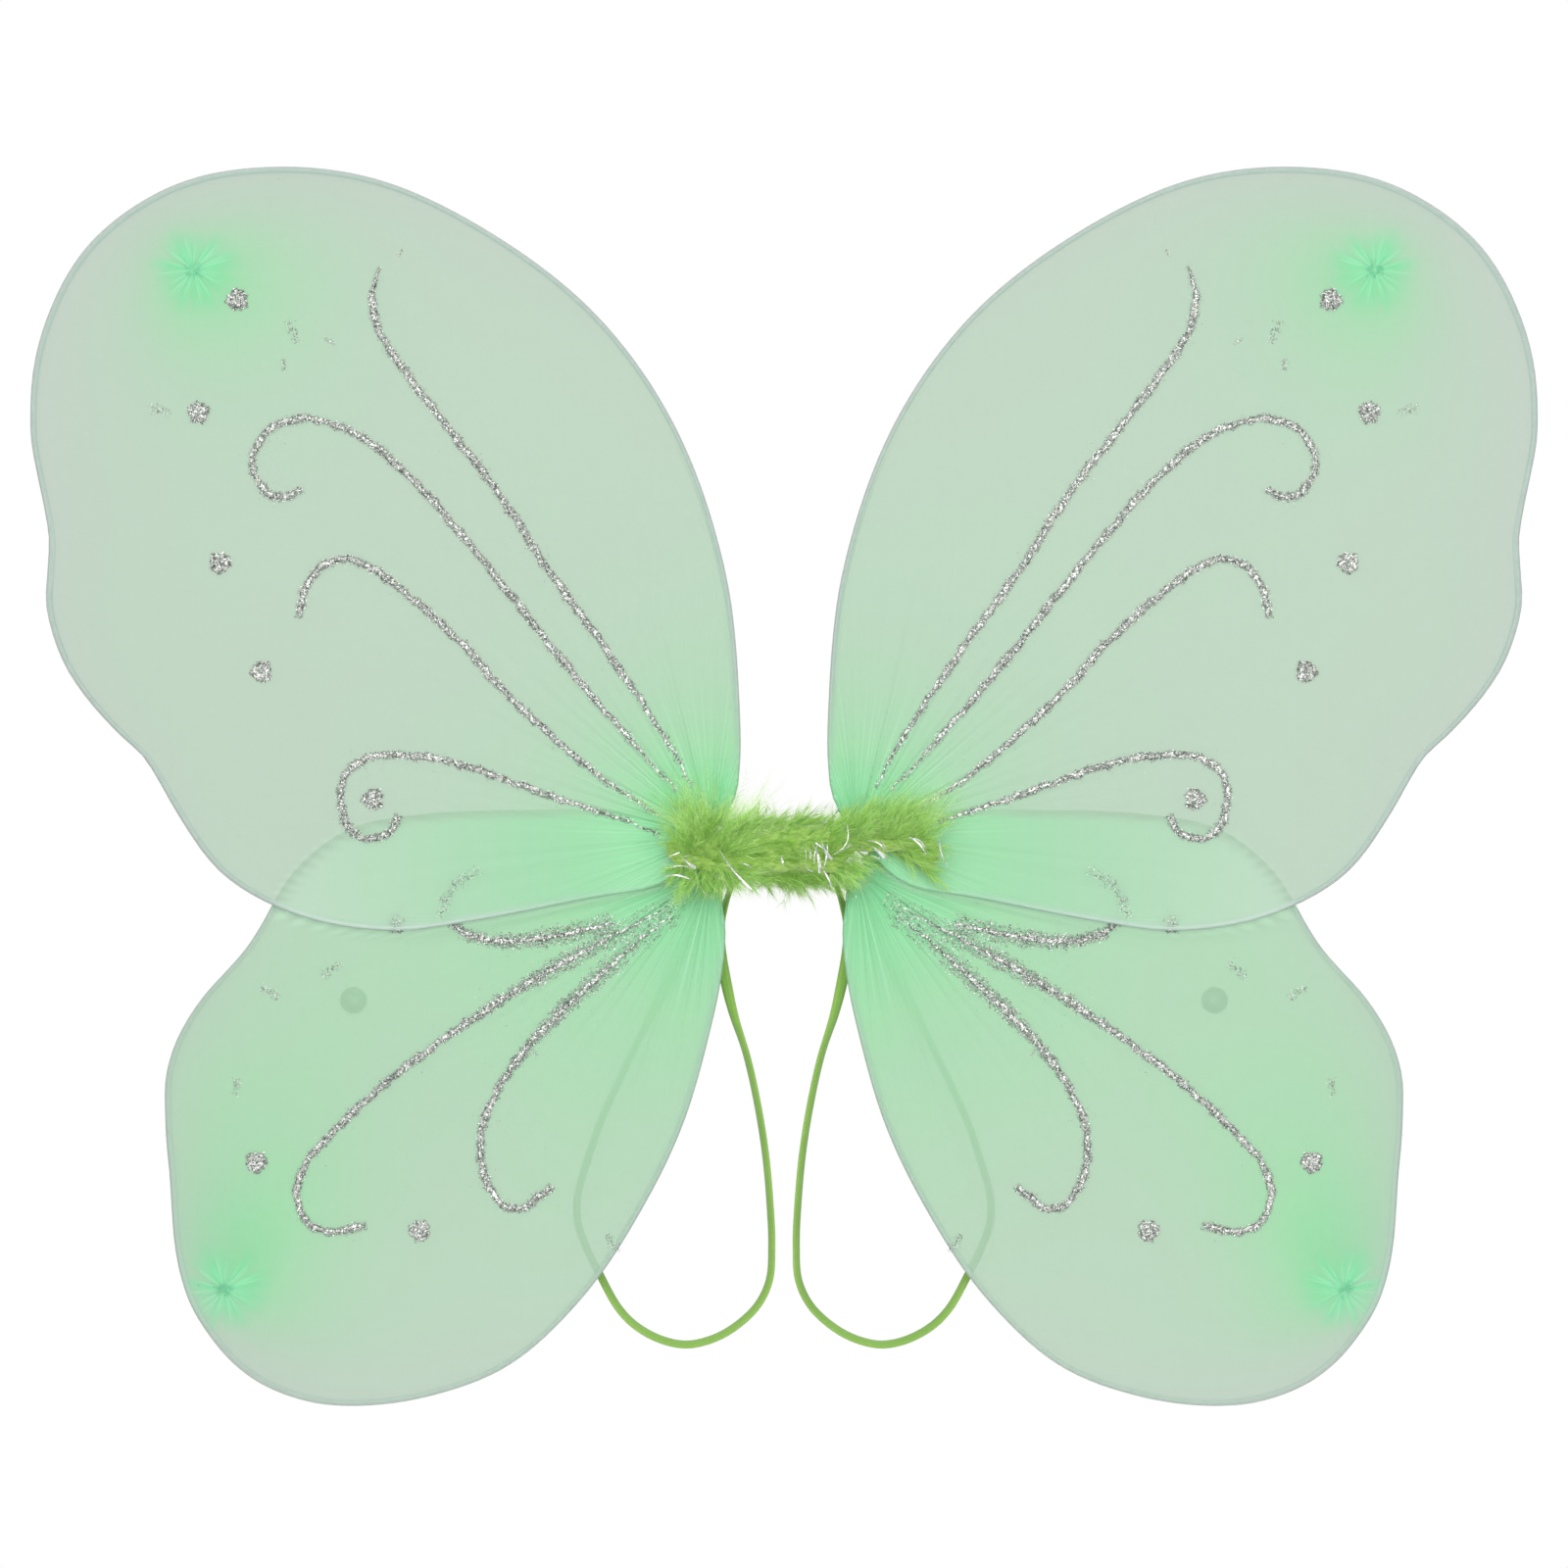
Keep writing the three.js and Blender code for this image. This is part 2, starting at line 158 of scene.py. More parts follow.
def at_lengths(line, wanted):
    """Points of a polyline at the given distances from its start."""
    along = lengths_along(line)
    return np.stack([np.interp(wanted, along, line[:, k]) for k in range(line.shape[1])], axis=1)


def spaced(line, step):
    total = lengths_along(line)[-1]
    return at_lengths(line, np.linspace(0, total, max(2, round(total / step)) + 1))


def graded(count, density):
    """count + 1 values from 0 to 1, close together where density(t) is high."""
    t = np.linspace(0, 1, 4000)
    weight = density(t)
    total = np.concatenate([[0], np.cumsum((weight[1:] + weight[:-1]) / 2)])
    return np.interp(np.linspace(0, total[-1], count + 1), total, t)


def waves(x, counts, phases):
    """A ripple between about -1 and 1: sines with the given number of periods over x = 0 to 1."""
    return sum(np.sin(2 * math.pi * n * x + p) for n, p in zip(counts, phases)) / math.sqrt(len(counts))


def lumps(points, scale, seed=0.0):
    """Smooth noise at each point, between about -1 and 1, with bumps about one scale apart."""
    return np.array([noise.noise(Vector(p) / scale + Vector((seed, seed, seed))) for p in points])


def directions(angle):
    """Unit (x, z) directions at each angle, which turns from +x towards +z."""
    return np.stack([np.cos(angle), np.sin(angle)], axis=-1)


def full_turn(steps):
    return 2 * math.pi * np.arange(steps) / steps


def in_space(places, depth):
    """(x, z) places as points at that depth, or at a depth each."""
    depth = np.broadcast_to(depth, places.shape[:-1])
    return np.stack([places[..., 0], depth, places[..., 1]], axis=-1)


def grid_faces(rows, columns, start=0, closed=False):
    """Quads between rows of equal length; closed joins each row's last point to its first."""
    last = columns if closed else columns - 1
    i, j = np.meshgrid(np.arange(rows - 1), np.arange(last), indexing="ij")
    here, across = i * columns + j, i * columns + (j + 1) % columns
    faces = np.stack([here, across, across + columns, here + columns], axis=-1)
    return faces.reshape(-1, 4) + start


def frames_along(line, up):
    """Tangents of a line, and two directions across it, the first as near to up as it can be."""
    tangent = unit(np.gradient(line, axis=0))
    up = np.broadcast_to(up, line.shape)
    first = unit(up - tangent * (up * tangent).sum(1, keepdims=True))
    return tangent, first, np.cross(tangent, first)


def tube_faces(rows, columns):
    """Faces of a tube made of closed rings, with a flat cap at each end."""
    last = (rows - 1) * columns
    caps = [list(range(columns))[::-1], list(range(last, last + columns))]
    return grid_faces(rows, columns, closed=True).tolist() + caps


def joined(parts):
    """One mesh of several, each given as (vertices, faces)."""
    faces = []
    start = 0
    for vertices, polygons in parts:
        polygons = polygons.tolist() if isinstance(polygons, np.ndarray) else polygons
        faces += [[i + start for i in face] for face in polygons]
        start += len(vertices)
    return np.vstack([vertices for vertices, _ in parts]), faces


def tube(line, sections, up):
    """A tube along line. Its section, or its section at each point, is (across, up) pairs."""
    _, high, wide = frames_along(line, up)
    ring = line[:, None] + sections[..., :1] * wide[:, None] + sections[..., 1:] * high[:, None]
    return ring.reshape(-1, 3), tube_faces(*ring.shape[:2])


def oval(width, height, sides=10, power=1.0):
    """A section (across, up): an ellipse, squarer where power is below 1."""
    c, s = directions(full_turn(sides)).T
    across = width / 2 * np.sign(c) * abs(c) ** power
    up = height / 2 * np.sign(s) * abs(s) ** power
    return np.stack([across, up], axis=1)


def turned(section, angle):
    """The section turned by each angle."""
    c, s = np.cos(angle)[:, None], np.sin(angle)[:, None]
    across, up = section.T
    return np.stack([across * c - up * s, across * s + up * c], axis=-1)


def add_mesh(name, vertices, faces, materials, side=1, smooth=True, slots=None, values=None):
    """A mesh object, mirrored in x when side is -1. values are numbers kept at each vertex."""
    vertices = np.array(vertices, float).reshape(-1, 3)
    faces = faces.tolist() if isinstance(faces, np.ndarray) else faces
    if side < 0:
        vertices[:, 0] *= -1
        faces = [face[::-1] for face in faces]
    mesh = bpy.data.meshes.new(name)
    mesh.from_pydata(vertices.tolist(), [], faces)
    for material in materials:
        mesh.materials.append(material)
    smooth = np.broadcast_to(smooth, len(faces))
    mesh.polygons.foreach_set("use_smooth", smooth.copy())
    if slots is not None:
        mesh.polygons.foreach_set("material_index", np.asarray(slots, np.int32))
    for key, numbers in (values or {}).items():
        numbers = np.asarray(numbers, np.float32)
        kind, field = ("FLOAT_VECTOR", "vector") if numbers.ndim == 2 else ("FLOAT", "value")
        layer = mesh.attributes.new(key, kind, "POINT")
        layer.data.foreach_set(field, numbers.ravel())
    mesh.update()
    piece = bpy.data.objects.new(name, mesh)
    bpy.context.scene.collection.objects.link(piece)
    return piece


def centre_of(node, side=1):
    """The middle of a CAD node's box, on the right-hand side."""
    low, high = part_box(node)
    middle = np.array((low + high) / 2)
    middle[0] *= side
    return middle


def front_outline(node, side):
    """The outline of a CAD node's flat front face as (x, z) points in order, on the right."""
    mesh = frame["nodes"][node].data
    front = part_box(node)[0].y + 1e-5
    count = {}
    for polygon in mesh.polygons:
        corners = [tuple(round(c, 7) for c in mesh.vertices[i].co) for i in polygon.vertices]
        if all(corner[1] < front for corner in corners):
            for pair in zip(corners, corners[1:] + corners[:1]):
                edge = frozenset(pair)
                count[edge] = count.get(edge, 0) + 1
    beside = {}
    for edge, times in count.items():
        if times == 1:
            a, b = edge
            beside.setdefault(a, []).append(b)
            beside.setdefault(b, []).append(a)
    start = min(beside)
    loop = [start, beside[start][0]]
    while True:
        onward = [p for p in beside[loop[-1]] if p != loop[-2]][0]
        if onward == start:
            break
        loop.append(onward)
    return np.array([(side * x, z) for x, _, z in loop])


# ---------------------------------------------------------------- camera, light and stage

LENS = 100
SENSOR = 36
WINGS_SHARE = 0.9594  # of the picture's width
RISE = 1.2 * MM  # the picture's middle is this far above the middle of the wings


def add_camera():
    low, high = CAD_BOX
    middle = (low + high) / 2
    data = bpy.data.cameras.new("camera")
    data.lens = LENS
    data.sensor_width = SENSOR
    camera = bpy.data.objects.new("camera", data)
    distance = (high.x - low.x) / WINGS_SHARE * LENS / SENSOR
    camera.location = (0, middle.y - distance, middle.z + RISE)
    camera.rotation_euler = (math.radians(90), 0, 0)
    bpy.context.scene.collection.objects.link(camera)
    bpy.context.scene.camera = camera


def add_light(name, place, size, energy, aim=(0, 0, 0.02)):
    data = bpy.data.lights.new(name, "AREA")
    data.size = size
    data.energy = energy
    light = bpy.data.objects.new(name, data)
    light.location = place
    light.rotation_euler = (Vector(aim) - Vector(place)).to_track_quat("-Z", "Y").to_euler()
    bpy.context.scene.collection.objects.link(light)


def add_world(seen, given):
    """A white room: seen is how bright the camera sees it, and given how much light it gives."""
    world = bpy.data.worlds.new("room")
    bpy.context.scene.world = world
    world.use_nodes = True
    nodes, links = world.node_tree.nodes, world.node_tree.links
    nodes.clear()
    path = nodes.new("ShaderNodeLightPath")
    strength = nodes.new("ShaderNodeMapRange")
    strength.inputs["To Min"].default_value = given
    strength.inputs["To Max"].default_value = seen
    background = nodes.new("ShaderNodeBackground")
    output = nodes.new("ShaderNodeOutputWorld")
    links.new(path.outputs["Is Camera Ray"], strength.inputs["Value"])
    links.new(strength.outputs["Result"], background.inputs["Strength"])
    links.new(background.outputs[0], output.inputs[0])
    background.inputs["Color"].default_value = (1, 1, 1, 1)


# ---------------------------------------------------------------- shader helpers


class Shader:
    """Adds nodes to one material and links them."""

    def __init__(self, name):
        self.material = bpy.data.materials.new(name)
        self.material.use_nodes = True
        self.tree = self.material.node_tree
        self.tree.nodes.clear()

    def node(self, kind, inputs=None, output=0, **settings):
        """Adds a node, fills its inputs with numbers or sockets, and gives one of its outputs."""
        node = self.tree.nodes.new("ShaderNode" + kind)
        for key, value in settings.items():
            setattr(node, key, value)
        for key, value in (inputs or {}).items():
            if isinstance(value, bpy.types.NodeSocket):
                self.tree.links.new(value, node.inputs[key])
            elif isinstance(value, tuple) and len(value) == 3 and node.inputs[key].type == "RGBA":
                node.inputs[key].default_value = (*value, 1)
            else:
                node.inputs[key].default_value = value
        return node.outputs[output]

    def place(self):
        return self.node("TexCoord", output="Object")

    def stored(self, name, output="Fac"):
        """The number, or with output="Vector" the vector, kept at each vertex under this name."""
        return self.node("Attribute", output=output, attribute_name=name)

    def rays(self, name, scale, detail=1.0):
        """Streaks that run straight out from the point that a stored vector is measured from."""
        heading = self.node("VectorMath", {0: self.stored(name, "Vector")}, operation="NORMALIZE")
        return self.noise(scale, detail, heading)

    def reach(self, name):
        """The length of a stored vector."""
        return self.node(
            "VectorMath", {0: self.stored(name, "Vector")}, output="Value", operation="LENGTH"
        )

    def ranged(self, value, low, high, to_low=0.0, to_high=1.0):
        """value moved from low..high to to_low..to_high, and kept inside it."""
        ends = {"From Min": low, "From Max": high, "To Min": to_low, "To Max": to_high}
        return self.node("MapRange", {"Value": value, **ends})

    def maths(self, operation, a, b=0.0, clamp=False):
        return self.node("Math", {0: a, 1: b}, operation=operation, use_clamp=clamp)

    def times(self, a, b):
        return self.maths("MULTIPLY", a, b)

    def between(self, value, low, high):
        """low where value is 0 and high where it is 1."""
        return self.node("MapRange", {"Value": value, "To Min": low, "To Max": high})

    def mix(self, share, a, b, how="MIX"):
        node = self.tree.nodes.new("ShaderNodeMix")
        node.data_type = "RGBA"
        node.blend_type = how
        for socket, value in ((node.inputs[0], share), (node.inputs[6], a), (node.inputs[7], b)):
            if isinstance(value, bpy.types.NodeSocket):
                self.tree.links.new(value, socket)
            else:
                socket.default_value = (*value, 1) if isinstance(value, tuple) else value
        return node.outputs[2]

    def ramp(self, value, *stops):
        """A colour ramp with (place, colour) stops."""
        node = self.tree.nodes.new("ShaderNodeValToRGB")
        while len(node.color_ramp.elements) < len(stops):
            node.color_ramp.elements.new(0.5)
        for element, (where, colour) in zip(node.color_ramp.elements, stops):
            element.position = where
            element.color = (*colour, 1)
        self.tree.links.new(value, node.inputs[0])
        return node.outputs[0]

    def noise(self, scale, detail=2.0, vector=None, roughness=0.5):
        vector = self.place() if vector is None else vector
        inputs = {"Vector": vector, "Scale": scale, "Detail": detail, "Roughness": roughness}
        return self.node("TexNoise", inputs)

    def stretched(self, x, y, z):
        """Place, scaled along each axis, for grain that runs one way."""
        return self.node("VectorMath", {0: self.place(), 1: (x, y, z)}, operation="MULTIPLY")

    def waves(self, direction, period, distortion=0.0):
        """Bands across one axis, that many metres apart, from 0 to 1."""
        inputs = {"Vector": self.place(), "Scale": math.pi / 10 / period, "Distortion": distortion}
        return self.node("TexWave", inputs, output="Fac", bands_direction=direction)

    def bump(self, height, distance, strength=1.0):
        inputs = {"Height": height, "Distance": distance, "Strength": strength}
        return self.node("Bump", inputs)

    def principled(self, **inputs):
        return self.node("BsdfPrincipled", {key.replace("_", " "): v for key, v in inputs.items()})

    def blend(self, share, a, b):
        """Shader a where share is 0, and b where it is 1."""
        return self.node("MixShader", {0: share, 1: a, 2: b})

    def finish(self, surface):
        output = self.tree.nodes.new("ShaderNodeOutputMaterial")
        self.tree.links.new(surface, output.inputs["Surface"])
        return self.material


# ---------------------------------------------------------------- materials

# The hosiery's colour from stretched flat (0) to fully gathered (1), and where it thins out.
NYLON_DYE = (
    (0.0, (0.413, 0.557, 0.429)),
    (0.5, (0.322, 0.635, 0.367)),
    (0.75, (0.25, 0.64, 0.33)),
    (1.0, (0.19, 0.60, 0.27)),
)
NYLON_OUTER = (0.44, 0.51, 0.45)
# Wing over wing the dye is greener, as two layers look, and lighter: painted light that lifts the shade
# the other wing casts.
NYLON_DOUBLED_AND_LIT = (0.36, 0.80, 0.46), (0.62, 0.82, 0.66)  # wing over wing, near the root and far out
WEAVE = 0.8 * MM  # from one thread to the next


def root_pleats(s, dye):
    """The folds that fan out from the root tie: the dye with them in, a painted highlight along them,
    and where they lie.
    """
    near = s.ranged(s.reach("from_root"), 10 * MM, 66 * MM, 1, 0)
    wide, fine = s.rays("from_root", 12, 2), s.rays("from_root", 48, 1)
    pleat = s.times(s.times(wide, fine), near)
    dye = s.mix(s.ranged(pleat, 0.25, 0.40, 0, 0.65), dye, (0.12, 0.58, 0.28))
    # Painted highlight: lighter streaks along the folds near the root.
    lit = s.times(s.ranged(fine, 0.52, 0.66), s.maths("POWER", near, 1.5))
    return s.mix(s.times(lit, 0.38), dye, (0.62, 0.90, 0.68)), pleat


def tip_star(s, dye):
    """The gathers round a tip knot: the dye with them in, dark creases of denser cloth and painted
    shade, painted highlights along the ridges, and where the creases lie.
    """
    from_tip = s.reach("from_tip")
    arms = s.times(s.rays("from_tip", 3, 2), s.ranged(from_tip, 1 * MM, 28 * MM, 1, 0))
    dye = s.mix(s.ranged(arms, 0.20, 0.55, 0, 0.75), dye, (0.14, 0.68, 0.32))
    near = s.ranged(from_tip, 2 * MM, 11 * MM, 1, 0)
    broken = s.times(s.rays("from_tip", 17, 3), s.ranged(s.noise(500, 2), 0.35, 0.6, 0.75, 1.1))
    crease = s.ranged(s.times(broken, near), 0.44, 0.56)
    # Dark creases: denser cloth and painted shade in the folds.
    dye = s.mix(s.times(crease, 0.6), dye, (0.04, 0.40, 0.20))
    # Painted highlight along the ridges round the knot.
    ridge = s.times(s.rays("from_tip", 6, 2), s.ranged(from_tip, 5 * MM, 32 * MM, 1, 0))
    ridge = s.ranged(ridge, 0.42, 0.56)
    return s.mix(s.times(ridge, 0.22), dye, (0.50, 0.86, 0.60)), crease


def rim_shade(s, dye):
    """The dye with the wire in, which shows through the cloth along the rim; where the rim lies over
    the other wing it has painted shade near the root and painted light farther out.
    """
    from_root = s.reach("from_root")
    band = s.ranged(s.stored("rim"), -1.1, 3.9)
    over_wire = s.ramp(band, (0.46, (0.85,) * 3), (0.51, (0.70,) * 3), (0.62, (0,) * 3))
    over_wire = s.times(over_wire, s.ranged(from_root, 22 * MM, 60 * MM, 0.1, 1))
    over_wire = s.times(over_wire, s.stored("hem"))
    shade = s.ramp(
        band,
        (0.0, (0.58, 0.60, 0.62)),
        (0.10, (0.48, 0.56, 0.52)),
        (0.42, (0.44, 0.55, 0.49)),
        (0.51, (0.30, 0.44, 0.38)),
    )
    # Over the other wing: painted shade near the root, against the light the rim's rounded edge
    # catches, and painted light farther out, against the shade on its underside.
    far = s.ranged(from_root, 40 * MM, 90 * MM)
    over_wing = s.mix(far, (0.34, 0.66, 0.43), (0.57, 0.70, 0.63))
    shade = s.mix(s.times(s.stored("doubled"), 0.9), shade, over_wing)
    return s.mix(over_wire, dye, shade)


def make_nylon():
    """Sheer mint hosiery: pale and see-through where stretched, dense and saturated where gathered,
    with painted light and shade on its folds and where the wings overlap.
    """
    s = Shader("mint_hosiery")
    gather = s.stored("gather")
    dye = s.ramp(gather, *NYLON_DYE)
    dye = s.mix(s.ranged(s.stored("outer"), 0, 1, 0, 0.8), dye, NYLON_OUTER)
    dye = s.mix(s.ranged(s.noise(14, 3), 0.35, 0.75, 0, 0.22), dye, NYLON_OUTER)
    # Wing over wing: greener, as two layers look, and lighter, painted light that lifts the shade the
    # other wing casts.
    doubled = s.mix(s.ranged(s.reach("from_root"), 50 * MM, 150 * MM), *NYLON_DOUBLED_AND_LIT)
    dye = s.mix(s.times(s.stored("doubled"), 0.5), dye, doubled)
    dye, pleat = root_pleats(s, dye)
    dye, crease = tip_star(s, dye)
    dye = rim_shade(s, dye)
    # Painted light: a pale band on the lower wing along the upper wing's rim, against the shade that
    # rim casts there.
    dye = s.mix(s.times(s.stored("beside"), 0.75), dye, (0.66, 0.98, 0.72))

    weave = s.times(s.waves("X", WEAVE), s.waves("Z", WEAVE))
    cover = s.ranged(gather, 0, 1, 0.66, 0.97)
    cover = s.maths("ADD", cover, s.ranged(weave, 0, 1, -0.015, 0.035))
    cover = s.maths("ADD", cover, s.times(pleat, 0.15))
    cover = s.maths("ADD", cover, s.times(crease, 0.10), clamp=True)
    height = s.maths("SUBTRACT", pleat, s.times(crease, 0.25))
    height = s.maths("ADD", height, s.times(weave, 0.05))
    dent = s.bump(height, 0.8 * MM, 0.5)
    looks = {"Sheen_Weight": 0.15, "Sheen_Roughness": 0.4, "Specular_IOR_Level": 0.2}
    cloth = s.principled(Base_Color=dye, Roughness=0.62, Normal=dent, **looks)
    through = s.node("BsdfTranslucent", {"Color": dye, "Normal": dent})
    fibre = s.blend(0.2, cloth, through)
    return s.finish(s.blend(cover, s.node("BsdfTransparent"), fibre))


def make_gathered():
    """The same hosiery bunched up, with creases that run along Y, darker in their hollows and lighter
    on their ridges: denser cloth with painted shade and highlight.
    """
    s = Shader("gathered_hosiery")
    crease = s.noise(1, 3, s.stretched(1400, 120, 1400))
    # Painted shade in the crease hollows and painted highlight on their ridges.
    shades = (0.3, (0.07, 0.46, 0.22)), (0.55, (0.20, 0.70, 0.38)), (0.8, (0.38, 0.80, 0.52))
    colour = s.ramp(crease, *shades)
    dent = s.bump(crease, 0.3 * MM, 0.6)
    return s.finish(s.principled(Base_Color=colour, Roughness=0.7, Normal=dent, Sheen_Weight=0.3))


def make_thread():
    s = Shader("mint_thread")
    ply = s.waves("X", 0.35 * MM, 2.0)
    colour = s.mix(ply, (0.12, 0.52, 0.28), (0.32, 0.76, 0.47))
    return s.finish(s.principled(Base_Color=colour, Roughness=0.75, Normal=s.bump(ply, 0.1 * MM)))


def make_coated_wire():
    s = Shader("coated_wire")
    spots = s.noise(420, 3)
    colour = s.ramp(spots, (0.3, (0.40, 0.50, 0.45)), (0.7, (0.62, 0.70, 0.66)))
    rough = s.between(spots, 0.25, 0.5)
    dent = s.bump(spots, 0.05 * MM)
    return s.finish(s.principled(Base_Color=colour, Roughness=rough, Normal=dent, Coat_Weight=0.3))


def make_bare_wire():
    s = Shader("bare_wire")
    drawn = s.noise(1, 3, s.stretched(60, 2500, 2500))
    colour = s.ramp(drawn, (0.3, (0.32, 0.33, 0.34)), (0.7, (0.60, 0.61, 0.62)))
    rough = s.between(drawn, 0.25, 0.5)
    return s.finish(s.principled(Base_Color=colour, Metallic=1.0, Roughness=rough))


def make_tape():
    """Crepe paper tape, wound at a slant, with fine cross wrinkles."""
    s = Shader("crepe_tape")
    wrinkle = s.noise(1, 4, s.stretched(1800, 500, 500))
    lap = s.waves("DIAGONAL", 3.2 * MM, 0.4)
    colour = s.mix(wrinkle, (0.16, 0.33, 0.07), (0.34, 0.56, 0.17))
    colour = s.mix(s.between(lap, 0.0, 0.35), colour, (0.12, 0.25, 0.06))
    dent = s.bump(s.maths("ADD", wrinkle, s.times(lap, 1.5)), 0.3 * MM, 0.7)
    return s.finish(s.principled(Base_Color=colour, Roughness=0.85, Normal=dent))


def make_down():
    """Marabou barbs, which are darker at the quill and thin out to pale tips."""
    s = Shader("marabou_down")
    along = s.stored("along")
    deep = (0.0, (0.15, 0.36, 0.025)), (0.45, (0.32, 0.62, 0.08)), (1.0, (0.50, 0.76, 0.20))
    pale = (0.0, (0.43, 0.70, 0.15)), (0.5, (0.60, 0.87, 0.30)), (1.0, (0.75, 0.97, 0.50))
    colour = s.mix(s.stored("tone"), s.ramp(along, *deep), s.ramp(along, *pale))
    looks = {"Sheen_Weight": 0.3, "Specular_IOR_Level": 0.3}
    hair = s.principled(Base_Color=colour, Roughness=0.65, **looks)
    glow = s.node("BsdfTranslucent", {"Color": colour})
    cover = s.ranged(along, 0, 1, 1.0, 0.14)
    return s.finish(s.blend(cover, s.node("BsdfTransparent"), s.blend(0.4, hair, glow)))


def make_fluff():
    """The packed down of the boa's core, in streaks that run along it."""
    s = Shader("marabou_core")
    streak = s.noise(1, 5, s.stretched(260, 900, 900), 0.65)
    shades = (0.28, (0.10, 0.23, 0.02)), (0.5, (0.26, 0.45, 0.07)), (0.72, (0.44, 0.62, 0.17))
    colour = s.ramp(streak, *shades)
    dent = s.bump(streak, 1.2 * MM, 0.9)
    return s.finish(s.principled(Base_Color=colour, Roughness=0.9, Normal=dent, Sheen_Weight=0.5))


def make_foil():
    s = Shader("silver_foil")
    crinkle = s.noise(900, 3)
    # The foil's colour runs from dark grey to near white over its crinkles: painted reflection.
    shades = (0.30, (0.28, 0.29, 0.30)), (0.5, (0.80, 0.81, 0.82)), (0.7, (0.97, 0.97, 0.98))
    colour = s.ramp(crinkle, *shades)
    dent = s.bump(crinkle, 0.25 * MM, 0.8)
    rough = s.between(crinkle, 0.10, 0.30)
    return s.finish(s.principled(Base_Color=colour, Metallic=0.6, Roughness=rough, Normal=dent))


def make_elastic():
    """Braided elastic: ribs along it, crossed by a fine plait."""
    s = Shader("lime_elastic")
    along, across = s.stored("along"), s.stored("across")
    ribs, plait_length = 7, 0.9 * MM
    rib = s.maths("SINE", s.times(across, 2 * math.pi * ribs))
    slant = s.maths("ADD", s.times(along, 2 * math.pi / plait_length), s.times(rib, 1.4))
    height = s.maths("ADD", s.times(rib, 0.5), s.times(s.maths("SINE", slant), 0.5))
    level = s.ranged(height, -1.0, 1.0)
    colour = s.mix(level, (0.200, 0.400, 0.060), (0.280, 0.510, 0.095))
    colour = s.mix(s.ranged(across, 0.6, 1.0, 0, 0.5), colour, (0.24, 0.27, 0.06))
    colour = s.mix(s.ranged(s.noise(40, 2), 0.4, 0.7, 0, 0.5), colour, (0.17, 0.36, 0.05))
    dent = s.bump(level, 0.12 * MM, 0.6)
    braid = s.principled(Base_Color=colour, Roughness=0.72, Normal=dent, Sheen_Weight=0.35)
    through = s.node("BsdfTranslucent", {"Color": s.mix(0.5, colour, (0.30, 0.70, 0.12))})
    return s.finish(s.blend(0.15, braid, through))


def glitter_shades(s, shade):
    """From the dark of a flake in shade to the white of one that catches the light."""
    return s.ramp(
        shade,
        (0.0, (0.05, 0.057, 0.05)),
        (0.25, (0.15, 0.165, 0.145)),
        (0.55, (0.30, 0.315, 0.285)),
        (0.80, (0.52, 0.53, 0.49)),
        (0.94, (0.95, 0.95, 0.92)),
    )


def make_glue():
    """Clear glue, packed with the finest glitter, each grain painted from dark shade to a white glint.
    """
    s = Shader("glitter_glue")
    cells = s.node("TexVoronoi", {"Vector": s.place(), "Scale": 1500}, output="Color")
    shade = s.node("SeparateColor", {0: cells})
    # Painted glints and shade: each grain's colour runs from dark to white.
    colour = glitter_shades(s, s.ranged(shade, 0.1, 0.9))
    dent = s.bump(shade, 0.2 * MM, 0.5)
    looks = {"Roughness": 0.4, "Metallic": 0.2, "Coat_Weight": 0.3}
    body = s.principled(Base_Color=colour, Normal=dent, **looks)
    cover = s.ranged(shade, 0.05, 0.30, 0.3, 1.0)
    return s.finish(s.blend(cover, s.node("BsdfTransparent"), body))


def make_glue_spot():
    s = Shader("dried_glue")
    cloud = s.noise(500, 3)
    colour = s.ramp(cloud, (0.3, (0.40, 0.53, 0.44)), (0.7, (0.48, 0.61, 0.52)))
    return s.finish(s.principled(Base_Color=colour, Roughness=0.35, Coat_Weight=0.4))


def make_flakes():
    """Silver flakes, each painted its own brightness from shade to glint, some with a painted
    reflection of the green round them.
    """
    s = Shader("glitter_flakes")
    colour = glitter_shades(s, s.stored("shade"))
    # Painted reflection: a green tint on some flakes from the cloth round them.
    painted_green_reflection = s.noise(1500, 1)
    colour = s.mix(s.ranged(painted_green_reflection, 0.45, 0.65, 0, 0.35), colour, (0.36, 0.52, 0.44))
    rough = s.ranged(s.noise(3000, 1), 0.3, 0.7, 0.2, 0.45)
    return s.finish(s.principled(Base_Color=colour, Metallic=0.3, Roughness=rough))


def make_floor():
    """A pale floor that fades out into the white of the room."""
    s = Shader("floor")
    reach = s.node("VectorMath", {0: s.place()}, output="Value", operation="LENGTH")
    ends = {"Value": reach, "From Min": 0.2, "From Max": 0.55}
    fade = s.node("MapRange", ends, interpolation_type="SMOOTHSTEP")
    grain = s.between(s.noise(90, 3), 0.90, 0.94)
    grey = s.node("CombineColor", {0: grain, 1: grain, 2: grain})
    surface = s.principled(Base_Color=grey, Roughness=0.8)
    return s.finish(s.blend(fade, surface, s.node("BsdfTransparent")))


MATERIALS = {
    "nylon": make_nylon(),
    "gathered": make_gathered(),
    "thread": make_thread(),
    "coated_wire": make_coated_wire(),
    "bare_wire": make_bare_wire(),
    "tape": make_tape(),
    "down": make_down(),
    "fluff": make_fluff(),
    "foil": make_foil(),
    "elastic": make_elastic(),
    "glue": make_glue(),
    "flakes": make_flakes(),
    "glue_spot": make_glue_spot(),
}


# ---------------------------------------------------------------- shoulder loops


